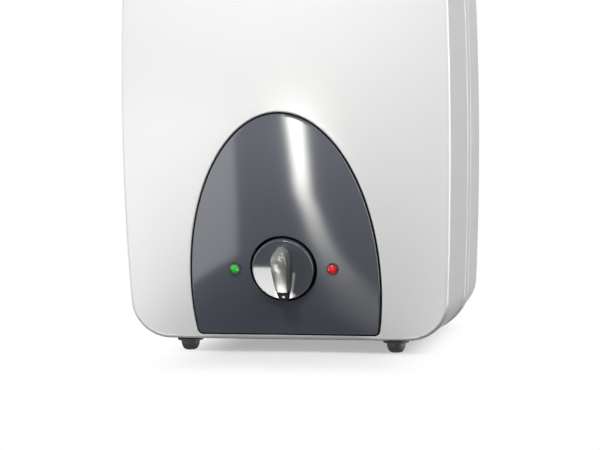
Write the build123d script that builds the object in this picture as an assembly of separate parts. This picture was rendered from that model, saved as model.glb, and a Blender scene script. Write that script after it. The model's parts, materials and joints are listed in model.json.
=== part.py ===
from build123d import *
import math
import os

# Electric mini-tank water heater, free-standing on four rubber feet.
# X runs to the right, Y backwards and Z up; the floor is at zero height.
# Depths are measured back from the crown of the domed front face.

# Casing
body_width = 260.0
body_height = 366.4
body_depth = 250.0
seam_depth = 136.0
wall = 2.5
side_bow = 6.0
end_bow = 1.0
corner_radius = 33.0
front_draft = 2.2
back_draft = 2.0
face_drop_top = 31.6
face_drop_side = 20.7
face_drop_corner = 28.0
front_edge_radius = 5.0
rear_edge_radius = 25.0
rim_bead_width = 16.0
rim_bead_height = 0.8
rim_bead_round = 0.7
seam_gap = 3.0
band_setback = 1.2
band_lip = 2.0
pipe_boss_height = 1.0

# Control panel
panel_half_width = 73.5
panel_arch_height = 131.3
panel_skirt = 38.7
panel_corner_radius = 4.0
panel_sill = 4.2
panel_thickness = 3.0
panel_proud = 0.6
panel_edge_round = 0.5
panel_gap = 0.9
panel_backing = 2.5
backing_margin = 4.0
gasket_thickness = 0.6
gasket_width = 5.0
clip_width = 9.0
clip_thickness = 2.0
clip_hook = 1.2
clip_play = 0.6
clip_height = 44.0
clip_spread = 52.0

# Knob and thermostat
knob_height = 58.2
knob_radius = 23.9
knob_proud = 3.4
knob_sunk = 4.6
knob_bevel = 1.3
well_gap = 1.3
well_depth = 6.0
well_wall = 1.6
hub_radius = 6.5
hub_length = 1.0
grip_height = 15.5
grip_middle_height = 13.4
grip_tail_height = 7.6
grip_half_width = 5.7
grip_tail_half_width = 4.1
grip_tip_half_width = 3.4
grip_shoulder = 9.0
grip_nose = 18.5
grip_nose_bulge = 14.8
grip_nose_half_width = 3.9
grip_crest_start = 15.0
grip_tail = 13.2
grip_tip = 22.6
grip_nose_foot = 2.0
pointer_foot = 0.9
grip_round = 1.2
spindle_radius = 3.0
spindle_reach = 2.0
spindle_depth = 20.0
running_clearance = 0.05
bracket_standoff = 12.0
bracket_side = 60.0
bracket_thickness = 1.2
bracket_round = 6.0
boss_radius = 4.0
boss_spread = 24.0
thermostat_side = 34.0
thermostat_thickness = 24.0
thermostat_round = 3.0
neck_radius = 5.0
neck_length = 3.0
thermostat_room = 4.0
capillary_radius = 1.1
capillary_drop = 14.0
capillary_low = 33.1
capillary_bend = 8.0

# Pilot lights
lamp_spread = 37.7
lens_radius = 2.95
lens_proud = 0.7
lens_crown = 1.2
lens_length = 5.0
lamp_bezel_radius = 4.2
lamp_bezel_thickness = 0.9
lamp_bezel_tube = 3.5
lamp_bezel_bore = 3.0
lamp_hole_play = 0.1
lamp_holder_radius = 4.2
lamp_holder_length = 11.0
lamp_hole_margin = 0.8

# Feet
foot_height = 7.75
foot_flange_radius = 10.0
foot_flange_thickness = 2.2
foot_dome_radius = 7.0
foot_tread_radius = 4.8
foot_shoulder_share = 0.45
foot_spread = 81.0
foot_front_depth = 45.0
foot_rear_depth = 205.0
foot_bore = 3.7
foot_bore_depth = 3.3
foot_pad_radius = 11.0
post_radius = 6.5

# Screws
screw_radius = 2.0
screw_head_radius = 3.5
screw_head_height = 1.8
foot_screw_length = 14.0
plate_screw_length = 10.0
small_screw_radius = 1.5
small_screw_head_radius = 2.8
small_screw_head_height = 1.5
small_screw_length = 6.0
screw_hole_play = 0.05

# Support plate, insulation and tank
plate_underside = 85.1
plate_thickness = 1.2
plate_play = 1.0
foam_play = 0.4
foam_top_gap = 1.5
insulation_side = 23.5
insulation_back = 13.5
tank_bottom = 97.1
tank_top = 351.1
tank_wall = 2.0
tank_dish = 26.0
tank_knuckle = 16.0
neck_bore = 28.0
neck_wall = 2.5
tank_flange_radius = 45.0
tank_flange_thickness = 4.0
tank_flange_drop = 14.0
plate_hole_play = 2.0

# Element flange group
flange_gasket_thickness = 2.0
element_flange_thickness = 4.0
flange_bolt_circle = 37.5
flange_bolt_count = 6
flange_bolt_radius = 3.0
flange_bolt_head_radius = 5.2
flange_bolt_head_height = 4.0
element_tube_radius = 4.0
element_half_pitch = 13.0
element_rise = 170.0
element_stud_radius = 2.4
element_stud_length = 12.0
anode_radius = 8.0
anode_length = 150.0
anode_core_radius = 3.0
anode_offset = 16.0
anode_seat = 3.0
thermowell_radius = 4.6
thermowell_bore = 3.7
thermowell_length = 150.0
thermowell_tip = 2.0
thermowell_offset = 14.0
thermowell_collar_radius = 6.5
thermowell_collar_length = 4.0
bulb_length = 90.0
bulb_play = 0.1

# Water pipes
pipe_spread = 55.0
pipe_depth = 158.0
pipe_radius = 10.5
pipe_bore = 7.5
pipe_rise = 22.0
thread_length = 16.0
thread_relief = 0.9
spud_radius = 14.5
spud_height = 14.0
thread_play = 0.05
shell_hole_play = 1.5
collar_radius = 16.0
collar_thickness = 4.0
collar_play = 0.1
collar_round = 1.0
boss_margin = 3.0
inlet_depth_in_tank = 200.0
inlet_slot_length = 18.0
inlet_slot_width = 4.0
outlet_depth_in_tank = 16.0

# Relief valve
relief_thread_radius = 12.0
relief_hex_radius = 17.3
relief_hex_height = 10.0
relief_hex_lift = 0.3
relief_barrel_radius = 13.0
relief_barrel_height = 24.0
relief_port_bore = 7.0
relief_seat_rise = 1.5
relief_chamber_radius = 10.0
relief_outlet_radius = 12.5
relief_outlet_bore = 9.3
relief_outlet_depth = 16.0
relief_outlet_way = 7.5
relief_outlet_reach = 30.0
relief_outlet_rise = 11.0
bonnet_height = 12.5
bonnet_top_radius = 9.0
bonnet_spigot = 4.0
bonnet_spigot_play = 0.1
bonnet_bore = 7.5
bonnet_roof = 3.7
stem_radius = 2.5
stem_running_gap = 0.1
stem_above_pin = 4.0
disc_radius = 8.5
disc_thickness = 2.8
disc_rest_gap = 0.2
valve_lift = 3.0
spring_mean_radius = 5.6
spring_wire_radius = 0.9
spring_turns = 5
spring_end_gap = 0.1
pin_radius = 1.5
pin_half_length = 5.2
pin_over_bonnet = 3.3
cam_radius = 4.5
cam_offset = valve_lift / 2
ear_gap = 0.3
ear_thickness = 1.5
lever_plate_thickness = 1.6
lever_plate_half_width = 7.0
lever_plate_rise = 2.4
lever_plate_start = 5.5
lever_length = 48.0
lever_tip_lift = 5.0
lever_bend_share = 0.55
lever_edge_tilt = 25

# Limit cut-out
cutout_spread = 52.0
cutout_depth = 172.0
cutout_radius = 13.0
cutout_height = 18.0
cutout_ear_length = 19.0
cutout_ear_half_width = 5.0
cutout_ear_thickness = 1.5
button_radius = 3.0
button_out = 6.0
button_travel = 2.0
button_collar_radius = 4.4
button_collar_thickness = 1.9
button_roof = 3.0
button_round = 1.0
button_cavity_radius = 5.0
button_spring_room = 3.1
button_cavity_height = button_collar_thickness + button_travel + button_spring_room
button_seat_gap = 0.1
reset_hole_radius = 5.0

# Terminal block and cable gland
terminal_block_x = 40.0
terminal_block_depth = 186.0
terminal_block_length = 42.0
terminal_block_width = 22.0
terminal_block_height = 18.0
terminal_block_base = 13.1
terminal_hole_radius = 2.2
terminal_hole_depth = 8.0
terminal_count = 3
terminal_pitch = 13.0
pocket_x = 56.0
pocket_half_width = 25.0
pocket_low = 23.1
pocket_high = 65.1
pocket_deep = 18.0
gland_flange_radius = 13.0
gland_flange_thickness = 4.0
gland_thread_radius = 8.0
gland_neck_length = 5.0
gland_cap_radius = 10.5
gland_cap_length = 9.0
gland_bore = 4.0
gland_liner_radius = 6.0
gland_nut_radius = 12.5
gland_nut_thickness = 5.0
gland_inner_length = 10.0

# Wiring
wire_radius = 1.3
wire_bend = 8.0
wire_low = 39.1
wire_tab = 3.0

# Wall bracket
wall_bracket_width = 170.0
wall_bracket_height = 52.0
wall_bracket_thickness = 2.0
wall_bracket_centre = 291.1
wall_bracket_round = 6.0
wall_hole_radius = 3.3
wall_hole_spread_x = 70.0
wall_hole_spread_z = 14.0
hook_width = 20.0
hook_spread = 40.0
hook_rise = 9.0
hook_slot_play = 1.0
bracket_screw_spread = 12.0

# Earth stud
earth_x = 62.0
earth_depth = 158.0
earth_radius = 2.5
earth_length = 12.0
earth_nut_radius = 4.6
earth_nut_height = 4.0

overrun = 60.0
hexagon_sides = 6
face_spans = 8
face_reach_share = 1.15
face_top_degree = 3
flat = (Align.CENTER, Align.CENTER, Align.MIN)
hang = (Align.CENTER, Align.CENTER, Align.MAX)

half_width = body_width / 2
half_height = body_height / 2
mid_height = foot_height + half_height
body_top = foot_height + body_height
rim_half_width = half_width - front_draft
rim_half_height = half_height - front_draft
front_slope = front_draft / (seam_depth - face_drop_corner)
back_slope = back_draft / (body_depth - seam_depth)
tank_radius = half_width - wall - insulation_side
tank_depth = body_depth - wall - insulation_back - tank_radius
plate_top = plate_underside + plate_thickness
boss_top = body_top + pipe_boss_height
panel_centre_height = mid_height - rim_half_height + panel_sill + panel_skirt


def face_depth(x, z):
    """Depth of the domed front face behind its crown."""
    u = (x / rim_half_width) ** 2
    v = ((z - mid_height) / rim_half_height) ** 2
    both = face_drop_side + face_drop_top - face_drop_corner
    return face_drop_side * u + face_drop_top * v - both * u * v


def face_plane(x, z):
    """Plane that touches the front face at x, z with its normal pointing outwards."""
    u = (x / rim_half_width) ** 2
    v = ((z - mid_height) / rim_half_height) ** 2
    both = face_drop_side + face_drop_top - face_drop_corner
    slope_x = (face_drop_side - both * v) * 2 * x / rim_half_width**2
    slope_z = (face_drop_top - both * u) * 2 * (z - mid_height) / rim_half_height**2
    return Plane((x, face_depth(x, z), z), x_dir=(1, slope_x, 0), z_dir=(slope_x, -1, slope_z))


def dome(shift):
    """Everything behind the front face moved back by shift."""
    steps = [face_reach_share * (2 * i / face_spans - 1) for i in range(face_spans + 1)]
    rows = []
    for across in steps:
        x = across * rim_half_width
        heights = [mid_height + up * rim_half_height for up in steps]
        rows.append([Vector(x, face_depth(x, z) + shift, z) for z in heights])
    skin = Face.make_surface_from_array_of_points(rows, min_deg=2, max_deg=face_top_degree)
    return Part() + Solid.extrude(skin, Vector(0, body_depth + overrun, 0))


def slab(front, back):
    """Curved layer between two shifts of the front face."""
    return dome(front) - dome(back)


def upright(depth, height=0.0):
    """Plane facing forwards at a depth, with its own Y axis pointing up."""
    return Plane((0, depth, height), x_dir=(1, 0, 0), z_dir=(0, -1, 0))


def casing_outline(inset, depth):
    """Barrel outline of the casing at a depth, drawn in by inset."""
    if depth < seam_depth:
        draw_in = inset + front_slope * (seam_depth - depth)
    else:
        draw_in = inset + back_slope * (depth - seam_depth)
    wide = half_width - draw_in
    tall = half_height - draw_in
    corner_x = wide - side_bow
    corner_z = tall - end_bow
    right = ThreePointArc((corner_x, -corner_z), (wide, 0), (corner_x, corner_z))
    top = ThreePointArc((corner_x, corner_z), (0, tall), (-corner_x, corner_z))
    left = ThreePointArc((-corner_x, corner_z), (-wide, 0), (-corner_x, -corner_z))
    bottom = ThreePointArc((-corner_x, -corner_z), (0, -tall), (corner_x, -corner_z))
    drawn = make_face([right, top, left, bottom])
    drawn = fillet(drawn.vertices(), corner_radius - draw_in)
    return upright(depth, mid_height) * drawn


def tube_of_outline(inset, start, end):
    """Casing flanks between two depths."""
    stations = [start, end]
    if start < seam_depth < end:
        stations = [start, seam_depth, end]
    return loft([casing_outline(inset, depth) for depth in stations], ruled=True)


def front_core(inset):
    """Solid form of the front shell, drawn in by inset on every side."""
    return tube_of_outline(inset, -overrun, seam_depth) & dome(inset)


def rear_core(inset):
    """Solid form of the rear shell, drawn in by inset on every side."""
    core = tube_of_outline(inset, seam_depth, body_depth - inset)
    rear = core.faces().sort_by(Axis.Y)[-1]
    return fillet(rear.edges(), rear_edge_radius - inset)


def arch(grow):
    """Arch outline of the control panel, grown all round, as a prism through the front."""
    wide = panel_half_width + grow
    tall = panel_arch_height + grow
    skirt = panel_skirt + grow
    span = 2 * (wide + tall)
    keep = Pos(0, (tall - skirt) / 2) * Rectangle(span, tall + skirt)
    drawn = Ellipse(wide, tall) & keep
    low = drawn.vertices().group_by(Axis.Y)[0]
    drawn = fillet(low, max(panel_corner_radius + grow, panel_edge_round))
    return extrude(upright(-overrun, panel_centre_height) * drawn, -overrun * 2 - face_drop_top)


def post(x, depth, top):
    """Screw post for a foot below and the support plate above."""
    pad = Pos(x, depth, foot_height) * Cylinder(foot_pad_radius, wall + front_draft, align=flat)
    shaft = Pos(x, depth, foot_height) * Cylinder(post_radius, top - foot_height, align=flat)
    return pad + shaft


def screw(radius, length, head_radius, head_height):
    """Screw whose head stands on zero and whose shank points down."""
    head = Cylinder(head_radius, head_height, align=flat)
    head = fillet(head.edges().sort_by(Axis.Z)[-1], head_height / 2)
    return head + Cylinder(radius, length, align=hang)


def ring(outer, inner, height):
    """Flat ring that stands on zero."""
    return Cylinder(outer, height, align=flat) - Cylinder(inner, height, align=flat)


def both_sides(x):
    """A place to the left and one to the right."""
    return [-x, x]


foot_places = [(x, y) for y in (foot_front_depth, foot_rear_depth) for x in both_sides(foot_spread)]
clip_places = [(x, z) for z in (knob_height, knob_height + clip_height) for x in both_sides(clip_spread)]
knob_plane = face_plane(0, knob_height + foot_height)
knob_centre_height = knob_height + foot_height
bracket_back = bracket_standoff + bracket_thickness
boss_places = [(x, y) for x in both_sides(boss_spread) for y in both_sides(boss_spread)]
lamp_planes = [face_plane(x, knob_centre_height) for x in both_sides(lamp_spread)]
well_radius = knob_radius + well_gap


def make_front_shell():
    """Front casing: domed face, arch recess, backing, posts and screw tabs."""
    outer = front_core(0)
    face = outer.faces().sort_by(Axis.Y)[0]
    outer = fillet(face.edges(), front_edge_radius)
    shell = outer - front_core(wall)
    rim = seam_depth - seam_gap / 2
    bead = tube_of_outline(-rim_bead_height, rim - rim_bead_width, rim)
    bead = fillet(bead.faces().sort_by(Axis.Y)[0].edges(), rim_bead_round)
    bead = fillet(bead.faces().sort_by(Axis.Y)[-1].edges(), rim_bead_round)
    shell = shell + (bead - tube_of_outline(wall / 2, rim - rim_bead_width - overrun, rim + overrun))
    recess_depth = panel_thickness - panel_proud + gasket_thickness + 2 * running_clearance
    backing = slab(recess_depth, recess_depth + panel_backing) & arch(panel_gap + backing_margin)
    shell = shell + (backing & front_core(wall / 2))
    shell = shell - (slab(-overrun, recess_depth) & arch(panel_gap))
    for x in both_sides(foot_spread):
        shell = shell + post(x, foot_front_depth, plate_underside)
    for x, y in boss_places:
        place = knob_plane * Pos(x, y, -bracket_standoff)
        shell = shell + place * Cylinder(boss_radius, bracket_standoff - recess_depth - wall, align=flat)
        hole = Cylinder(small_screw_radius + screw_hole_play, small_screw_length + bracket_thickness, align=flat)
        shell = shell - place * hole
    shell = shell - knob_plane * Cylinder(well_radius + 2 * well_wall, overrun)
    for plane in lamp_planes:
        shell = shell - plane * Cylinder(lamp_holder_radius + lamp_hole_margin, overrun)
    for x, z in clip_places:
        slot = Box(clip_width + 2 * clip_play, overrun, clip_thickness + clip_hook + 2 * clip_play)
        shell = shell - Pos(x, face_depth(x, z), z) * slot
    for x in both_sides(foot_spread):
        shell = shell - foot_screw_hole(x, foot_front_depth)
        shell = shell - plate_screw_hole(x, foot_front_depth)
    past_rim = Pos(0, rim, mid_height) * Box(
        body_width * 2, overrun, body_height * 2, align=(Align.CENTER, Align.MIN, Align.CENTER))
    return shell - past_rim


def foot_screw_hole(x, depth):
    """Hole from below for a foot screw."""
    length = foot_bore_depth + foot_screw_length
    hole = Cylinder(screw_radius + screw_hole_play, length, align=flat)
    return Pos(x, depth, 0) * hole


def plate_screw_hole(x, depth):
    """Hole from above for a screw of the support plate."""
    length = plate_screw_length + plate_thickness
    return Pos(x, depth, plate_top) * Cylinder(screw_radius + screw_hole_play, length, align=hang)


def make_rear_shell():
    """Rear casing: flanks, back, pipe bosses, cord pocket, posts and hook slots."""
    shell = rear_core(0) - rear_core(wall)
    rim = seam_depth + seam_gap / 2
    bead = tube_of_outline(-rim_bead_height, rim, rim + rim_bead_width)
    bead = fillet(bead.faces().sort_by(Axis.Y)[0].edges(), rim_bead_round)
    bead = fillet(bead.faces().sort_by(Axis.Y)[-1].edges(), rim_bead_round)
    shell = shell + (bead - tube_of_outline(wall / 2, rim - overrun, rim + rim_bead_width + overrun))
    low = boss_top - wall - 2 * pipe_boss_height
    for x, radius in pipe_bosses:
        shell = shell + Pos(x, pipe_depth, low) * Cylinder(radius + boss_margin, boss_top - low, align=flat)
    for x in both_sides(foot_spread):
        shell = shell + post(x, foot_rear_depth, plate_underside)
    pocket = Box(2 * pocket_half_width, pocket_deep, pocket_high - pocket_low)
    pocket_place = Pos(pocket_x, body_depth - pocket_deep / 2, (pocket_high + pocket_low) / 2)
    liner = Box(
        2 * (pocket_half_width + wall), pocket_deep + wall, pocket_high - pocket_low + 2 * wall)
    liner_place = Pos(pocket_x, body_depth - (pocket_deep + wall) / 2, (pocket_high + pocket_low) / 2)
    shell = shell + (liner_place * liner & rear_core(wall / 2))
    shell = shell - pocket_place * pocket
    pedestal = Box(terminal_block_length, terminal_block_width, terminal_block_base - foot_height, align=hang)
    pedestal = Pos(terminal_block_x, terminal_block_depth, terminal_block_base) * pedestal
    shell = shell + (pedestal & rear_core(wall / 2))
    for x, radius in pipe_bosses:
        shell = shell - Pos(x, pipe_depth, body_top) * Cylinder(radius, overrun / 2)
    for x in both_sides(foot_spread):
        shell = shell - foot_screw_hole(x, foot_rear_depth)
        shell = shell - plate_screw_hole(x, foot_rear_depth)
    gland_hole = Cylinder(gland_thread_radius + running_clearance, overrun)
    shell = shell - gland_plane * gland_hole
    shell = shell - Pos(-cutout_spread, cutout_depth, foot_height) * Cylinder(reset_hole_radius, overrun / 2)
    for x in both_sides(hook_spread):
        slot = Box(hook_width + 2 * hook_slot_play, 4 * wall, hook_rise + 2 * hook_slot_play + 2 * wall)
        shell = shell - Pos(x, body_depth, wall_bracket_centre) * slot
    for x in both_sides(bracket_screw_spread):
        hole = Cylinder(small_screw_radius + screw_hole_play, 4 * wall)
        shell = shell - Pos(x, body_depth, wall_bracket_centre) * (Rot(90, 0, 0) * hole)
    ahead = Pos(0, rim, mid_height) * Box(
        body_width * 2, overrun, body_height * 2, align=(Align.CENTER, Align.MAX, Align.CENTER))
    return shell - ahead


pipe_bosses = [(x, pipe_radius + shell_hole_play) for x in both_sides(pipe_spread)]
pipe_bosses.append((0, relief_thread_radius + shell_hole_play))
pocket_floor = body_depth - pocket_deep
gland_height = (pocket_high + pocket_low) / 2
gland_plane = Plane((pocket_x, pocket_floor, gland_height), x_dir=(-1, 0, 0), z_dir=(0, 1, 0))


def make_seam_band():
    """Grey band between the rims of the two shells."""
    front = seam_depth - seam_gap / 2
    back = seam_depth + seam_gap / 2
    band = tube_of_outline(band_setback, front, back)
    return band - tube_of_outline(band_setback + band_lip, front - overrun, back + overrun)


def make_control_panel():
    """Arch fascia with a rounded rim, the knob well, the lamp holes and its clips."""
    back = panel_thickness - panel_proud
    plate = slab(-panel_proud, back) & arch(0)
    face = plate.faces().sort_by(Axis.Y)[0]
    plate = fillet(face.edges(), panel_edge_round)
    cup_height = well_depth + well_wall - panel_thickness / 2
    cup = Pos(0, 0, -well_depth - well_wall) * Cylinder(well_radius + well_wall, cup_height, align=flat)
    plate = plate + knob_plane * cup
    for x, z in clip_places:
        root = face_depth(x, z) + back - panel_thickness / 2
        reach = panel_thickness / 2 + gasket_thickness + panel_backing + 2 * clip_hook
        leg = Box(clip_width, reach, clip_thickness, align=(Align.CENTER, Align.MIN, Align.CENTER))
        hook = Pos(0, reach - clip_hook, clip_thickness / 2) * Box(
            clip_width, clip_hook, clip_hook, align=(Align.CENTER, Align.MIN, Align.MIN))
        plate = plate + Pos(x, root, z - clip_hook / 2) * (leg + hook)
    plate = plate - knob_plane * Pos(0, 0, -well_depth) * Cylinder(well_radius, overrun, align=flat)
    plate = plate - knob_plane * Cylinder(hub_radius - well_wall, overrun)
    for plane in lamp_planes:
        plate = plate - plane * Cylinder(lamp_bezel_tube + lamp_hole_play, overrun)
    return plate


def make_panel_gasket():
    """Black foam gasket under the rim of the fascia."""
    front = panel_thickness - panel_proud + running_clearance
    layer = slab(front, front + gasket_thickness)
    layer = layer & arch(panel_gap - running_clearance)
    layer = layer - arch(-gasket_width)
    for x, z in clip_places:
        slot = Box(clip_width + 2 * clip_play, overrun, clip_thickness + clip_hook + 2 * clip_play)
        layer = layer - Pos(x, face_depth(x, z), z) * slot
    return layer


def grip_outline():
    """Plan of the fin grip: pointed nose above, straight taper to the tail."""
    nose = [
        ThreePointArc(
            (side * grip_half_width, grip_shoulder),
            (side * grip_nose_half_width, grip_nose_bulge),
            (0, grip_nose))
        for side in (-1, 1)]
    tail = Polyline(
        (-grip_half_width, grip_shoulder),
        (-grip_tail_half_width, -grip_tail),
        (-grip_tip_half_width, -grip_tip),
        (grip_tip_half_width, -grip_tip),
        (grip_tail_half_width, -grip_tail),
        (grip_half_width, grip_shoulder))
    return make_face([*nose, tail])


def grip_side():
    """Side view of the grip: steep nose, arched crest and the pointer ramp."""
    foot = knob_proud - knob_bevel
    high = (grip_crest_start, knob_proud + grip_height)
    low = (-grip_tail, knob_proud + grip_tail_height)
    middle = ((grip_crest_start - grip_tail) / 2, knob_proud + grip_middle_height)
    crest = ThreePointArc(high, middle, low)
    ramp = Polyline(low, (-grip_tip, knob_proud + pointer_foot), (-grip_tip, foot), (grip_nose, foot))
    nose = Polyline((grip_nose, foot), (grip_nose, knob_proud + grip_nose_foot), high)
    return [crest, ramp, nose]


def grip_block():
    """Fin of the knob with its pointer ramp."""
    prism = extrude(grip_outline(), knob_proud + grip_height + overrun)
    side = make_face(grip_side())
    side = Plane((-knob_radius, 0, 0), x_dir=(0, 1, 0), z_dir=(1, 0, 0)) * side
    return prism & extrude(side, 2 * knob_radius)


def make_knob_dial():
    """Disc, hub and grip of the thermostat knob in one moulding."""
    disc = Pos(0, 0, -knob_sunk) * Cylinder(knob_radius, knob_sunk + knob_proud, align=flat)
    disc = fillet(disc.edges().sort_by(Axis.Z)[-1], knob_bevel)
    fin = grip_block()
    ahead = Pos(0, -grip_tail, 0) * Box(
        2 * knob_radius, 2 * knob_radius, overrun, align=(Align.CENTER, Align.MIN, Align.CENTER))
    fin = fin & ahead
    crest = fin.faces().filter_by(GeomType.CYLINDER).sort_by(Axis.Z)[-1]
    sides = [edge for edge in crest.edges() if abs(edge.center().X) > grip_nose_half_width]
    fin = fillet(sides, grip_round)
    hub = Pos(0, 0, -knob_sunk) * Cylinder(hub_radius - 2 * well_wall + hub_length, hub_length, align=hang)
    bore = Cylinder(spindle_radius + running_clearance, knob_sunk + hub_length + spindle_reach, align=flat)
    dial = disc + fin + hub - Pos(0, 0, -knob_sunk - hub_length) * bore
    behind = Pos(0, -grip_tail, knob_proud) * Box(
        2 * grip_tail_half_width + 2 * grip_round, 2 * knob_radius, overrun,
        align=(Align.CENTER, Align.MAX, Align.MIN))
    tail = grip_block() & behind
    return knob_plane * (dial - tail)


def make_knob_pointer():
    """Black pointer wedge at the tail of the grip."""
    behind = Pos(0, -grip_tail, knob_proud) * Box(
        2 * knob_radius, 2 * knob_radius, overrun, align=(Align.CENTER, Align.MAX, Align.MIN))
    return knob_plane * (grip_block() & behind)


def make_spindle():
    """Thermostat spindle that the knob is pushed on."""
    length = spindle_depth + spindle_reach - knob_sunk
    return knob_plane * Pos(0, 0, -spindle_depth) * Cylinder(spindle_radius, length, align=flat)


def make_thermostat():
    """Thermostat body with its threaded neck."""
    outline = RectangleRounded(thermostat_side, thermostat_side, thermostat_round)
    block = extrude(outline, -thermostat_thickness)
    block = Pos(0, 0, -bracket_back) * block
    neck = Pos(0, 0, -bracket_back) * Cylinder(neck_radius, neck_length, align=flat)
    bore = Cylinder(spindle_radius + running_clearance, spindle_depth + running_clearance, align=hang)
    return knob_plane * (block + neck - bore)


def make_thermostat_bracket():
    """Square steel bracket across the four bosses behind the panel."""
    plate = extrude(RectangleRounded(bracket_side, bracket_side, bracket_round), bracket_thickness)
    plate = plate - Cylinder(neck_radius + screw_hole_play, overrun)
    for x, y in boss_places:
        plate = plate - Pos(x, y) * Cylinder(small_screw_radius + screw_hole_play, overrun)
    return knob_plane * Pos(0, 0, -bracket_back) * plate


def make_thermostat_screws():
    """Four screws of the thermostat bracket."""
    one = screw(small_screw_radius, small_screw_length, small_screw_head_radius, small_screw_head_height)
    turned = Rot(180, 0, 0) * one
    return [knob_plane * Pos(x, y, -bracket_back) * turned for x, y in boss_places]


def make_capillary():
    """Capillary tube from the thermostat down and back to the thermowell."""
    start = knob_plane.from_local_coords(
        Vector(0, -thermostat_side / 2, -bracket_back - thermostat_thickness / 2))
    mouth = flange_underside - thermowell_collar_length
    back = tank_depth - thermowell_offset
    below = start + knob_plane.y_dir * -capillary_drop
    points = [start, below, Vector(0, back, capillary_low), Vector(0, back, mouth)]
    path = FilletPolyline(*points, radius=capillary_bend)
    section = Plane(start, z_dir=knob_plane.y_dir * -1) * Circle(capillary_radius)
    return sweep(section, path=path)


def make_lens(plane):
    """Pilot light lens with a low crown."""
    body = Pos(0, 0, -lens_length) * Cylinder(lens_radius, lens_length + lens_proud, align=flat)
    sphere_radius = (lens_radius**2 + lens_crown**2) / (2 * lens_crown)
    ball = Pos(0, 0, lens_proud + lens_crown - sphere_radius) * Sphere(sphere_radius)
    above = Pos(0, 0, lens_proud) * Cylinder(lens_radius, lens_crown, align=flat)
    return plane * (body + (ball & above))


def make_lamp_bezel(plane):
    """Black ring with a tube that snaps into the fascia."""
    rise = panel_proud
    flange = Pos(0, 0, rise) * ring(lamp_bezel_radius, lamp_bezel_bore, lamp_bezel_thickness)
    flange = fillet(flange.edges().group_by(Axis.Z)[-1].sort_by(SortBy.LENGTH)[-1], lamp_bezel_thickness / 2)
    tube_length = lens_length + rise
    tube = Pos(0, 0, rise) * Cylinder(lamp_bezel_tube, tube_length, align=hang)
    tube = tube - Pos(0, 0, rise) * Cylinder(lamp_bezel_bore, tube_length, align=hang)
    return plane * (flange + tube)


def make_lamp_holder(plane):
    """Lamp holder behind the fascia."""
    cup = Pos(0, 0, -lens_length) * Cylinder(lamp_holder_radius, lamp_holder_length, align=hang)
    return plane * cup


def make_foot(x, depth):
    """Rubber foot: flange, dome and a flat tread with the screw recess."""
    dome_height = foot_height - foot_flange_thickness
    profile = make_face([
        Polyline(
            (foot_bore, 0), (foot_tread_radius, 0)),
        ThreePointArc(
            (foot_tread_radius, 0),
            (foot_tread_radius + (foot_dome_radius - foot_tread_radius) * (1 - foot_shoulder_share / 2),
             dome_height * foot_shoulder_share),
            (foot_dome_radius, dome_height)),
        Polyline(
            (foot_dome_radius, dome_height),
            (foot_flange_radius, dome_height),
            (foot_flange_radius, foot_height),
            (screw_radius + 2 * screw_hole_play, foot_height),
            (screw_radius + 2 * screw_hole_play, foot_bore_depth),
            (foot_bore, foot_bore_depth),
            (foot_bore, 0))])
    body = revolve(Plane.XZ * profile, Axis.Z)
    return Pos(x, depth, 0) * body


def make_foot_screws():
    """Screws that hold the feet to the posts."""
    one = Rot(180, 0, 0) * screw(screw_radius, foot_screw_length, screw_head_radius, screw_head_height)
    return [Pos(x, y, foot_bore_depth) * one for x, y in foot_places]


def tank_form(inset):
    """Cylinder with dished heads and rounded knuckles."""
    radius = tank_radius - inset
    low = tank_bottom + inset
    high = tank_top - inset
    sphere = (radius**2 + tank_dish**2) / (2 * tank_dish)
    half = radius / 2
    dip = sphere - math.sqrt(sphere**2 - half**2)
    profile = make_face([
        ThreePointArc((0, low), (half, low + dip), (radius, low + tank_dish)),
        Line((radius, low + tank_dish), (radius, high - tank_dish)),
        ThreePointArc((radius, high - tank_dish), (half, high - dip), (0, high)),
        Line((0, high), (0, low))])
    body = revolve(Plane.XZ * profile, Axis.Z)
    rims = body.edges().filter_by(lambda edge: edge.is_closed)
    body = fillet(rims, tank_knuckle - inset)
    return Pos(0, tank_depth, 0) * body


def head_height(radius):
    """Height of the top head at a distance from the tank's axis."""
    sphere = (tank_radius**2 + tank_dish**2) / (2 * tank_dish)
    return tank_top - sphere + math.sqrt(sphere**2 - radius**2)


neck_foot = tank_bottom - tank_flange_drop
flange_top = neck_foot - flange_gasket_thickness
flange_underside = flange_top - element_flange_thickness
spud_offset = pipe_depth - tank_depth
pipe_spud_base = head_height(math.hypot(pipe_spread, spud_offset)) - tank_wall * 2
relief_spud_base = head_height(spud_offset) - tank_wall * 2
spuds = [(x, pipe_spud_base, pipe_radius) for x in both_sides(pipe_spread)]
spuds.append((0, relief_spud_base, relief_thread_radius))


def make_tank():
    """Steel tank with its bottom neck, bolting flange and three spuds."""
    tank = tank_form(0)
    axis = Pos(0, tank_depth, 0)
    rise = tank_bottom - neck_foot + tank_wall * 2
    tank = tank + axis * Pos(0, 0, neck_foot) * Cylinder(neck_bore + neck_wall, rise, align=flat)
    flange = Cylinder(tank_flange_radius, tank_flange_thickness, align=flat)
    tank = tank + axis * Pos(0, 0, neck_foot) * flange
    for x, base, radius in spuds:
        spud = Cylinder(radius + spud_radius - pipe_radius, spud_height, align=flat)
        tank = tank + Pos(x, pipe_depth, base) * spud
    tank = tank - tank_form(tank_wall)
    tank = tank - axis * Pos(0, 0, neck_foot) * Cylinder(neck_bore, rise, align=flat)
    for x, base, radius in spuds:
        tank = tank - Pos(x, pipe_depth, base) * Cylinder(radius + thread_play, overrun)
    for angle in bolt_angles():
        tank = tank - bolt_place(angle, neck_foot) * Cylinder(flange_bolt_radius + thread_play, overrun / 2)
    return tank


def bolt_angles():
    """Angles of the flange bolts."""
    return [math.tau * (i + 1 / 2) / flange_bolt_count for i in range(flange_bolt_count)]


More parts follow.
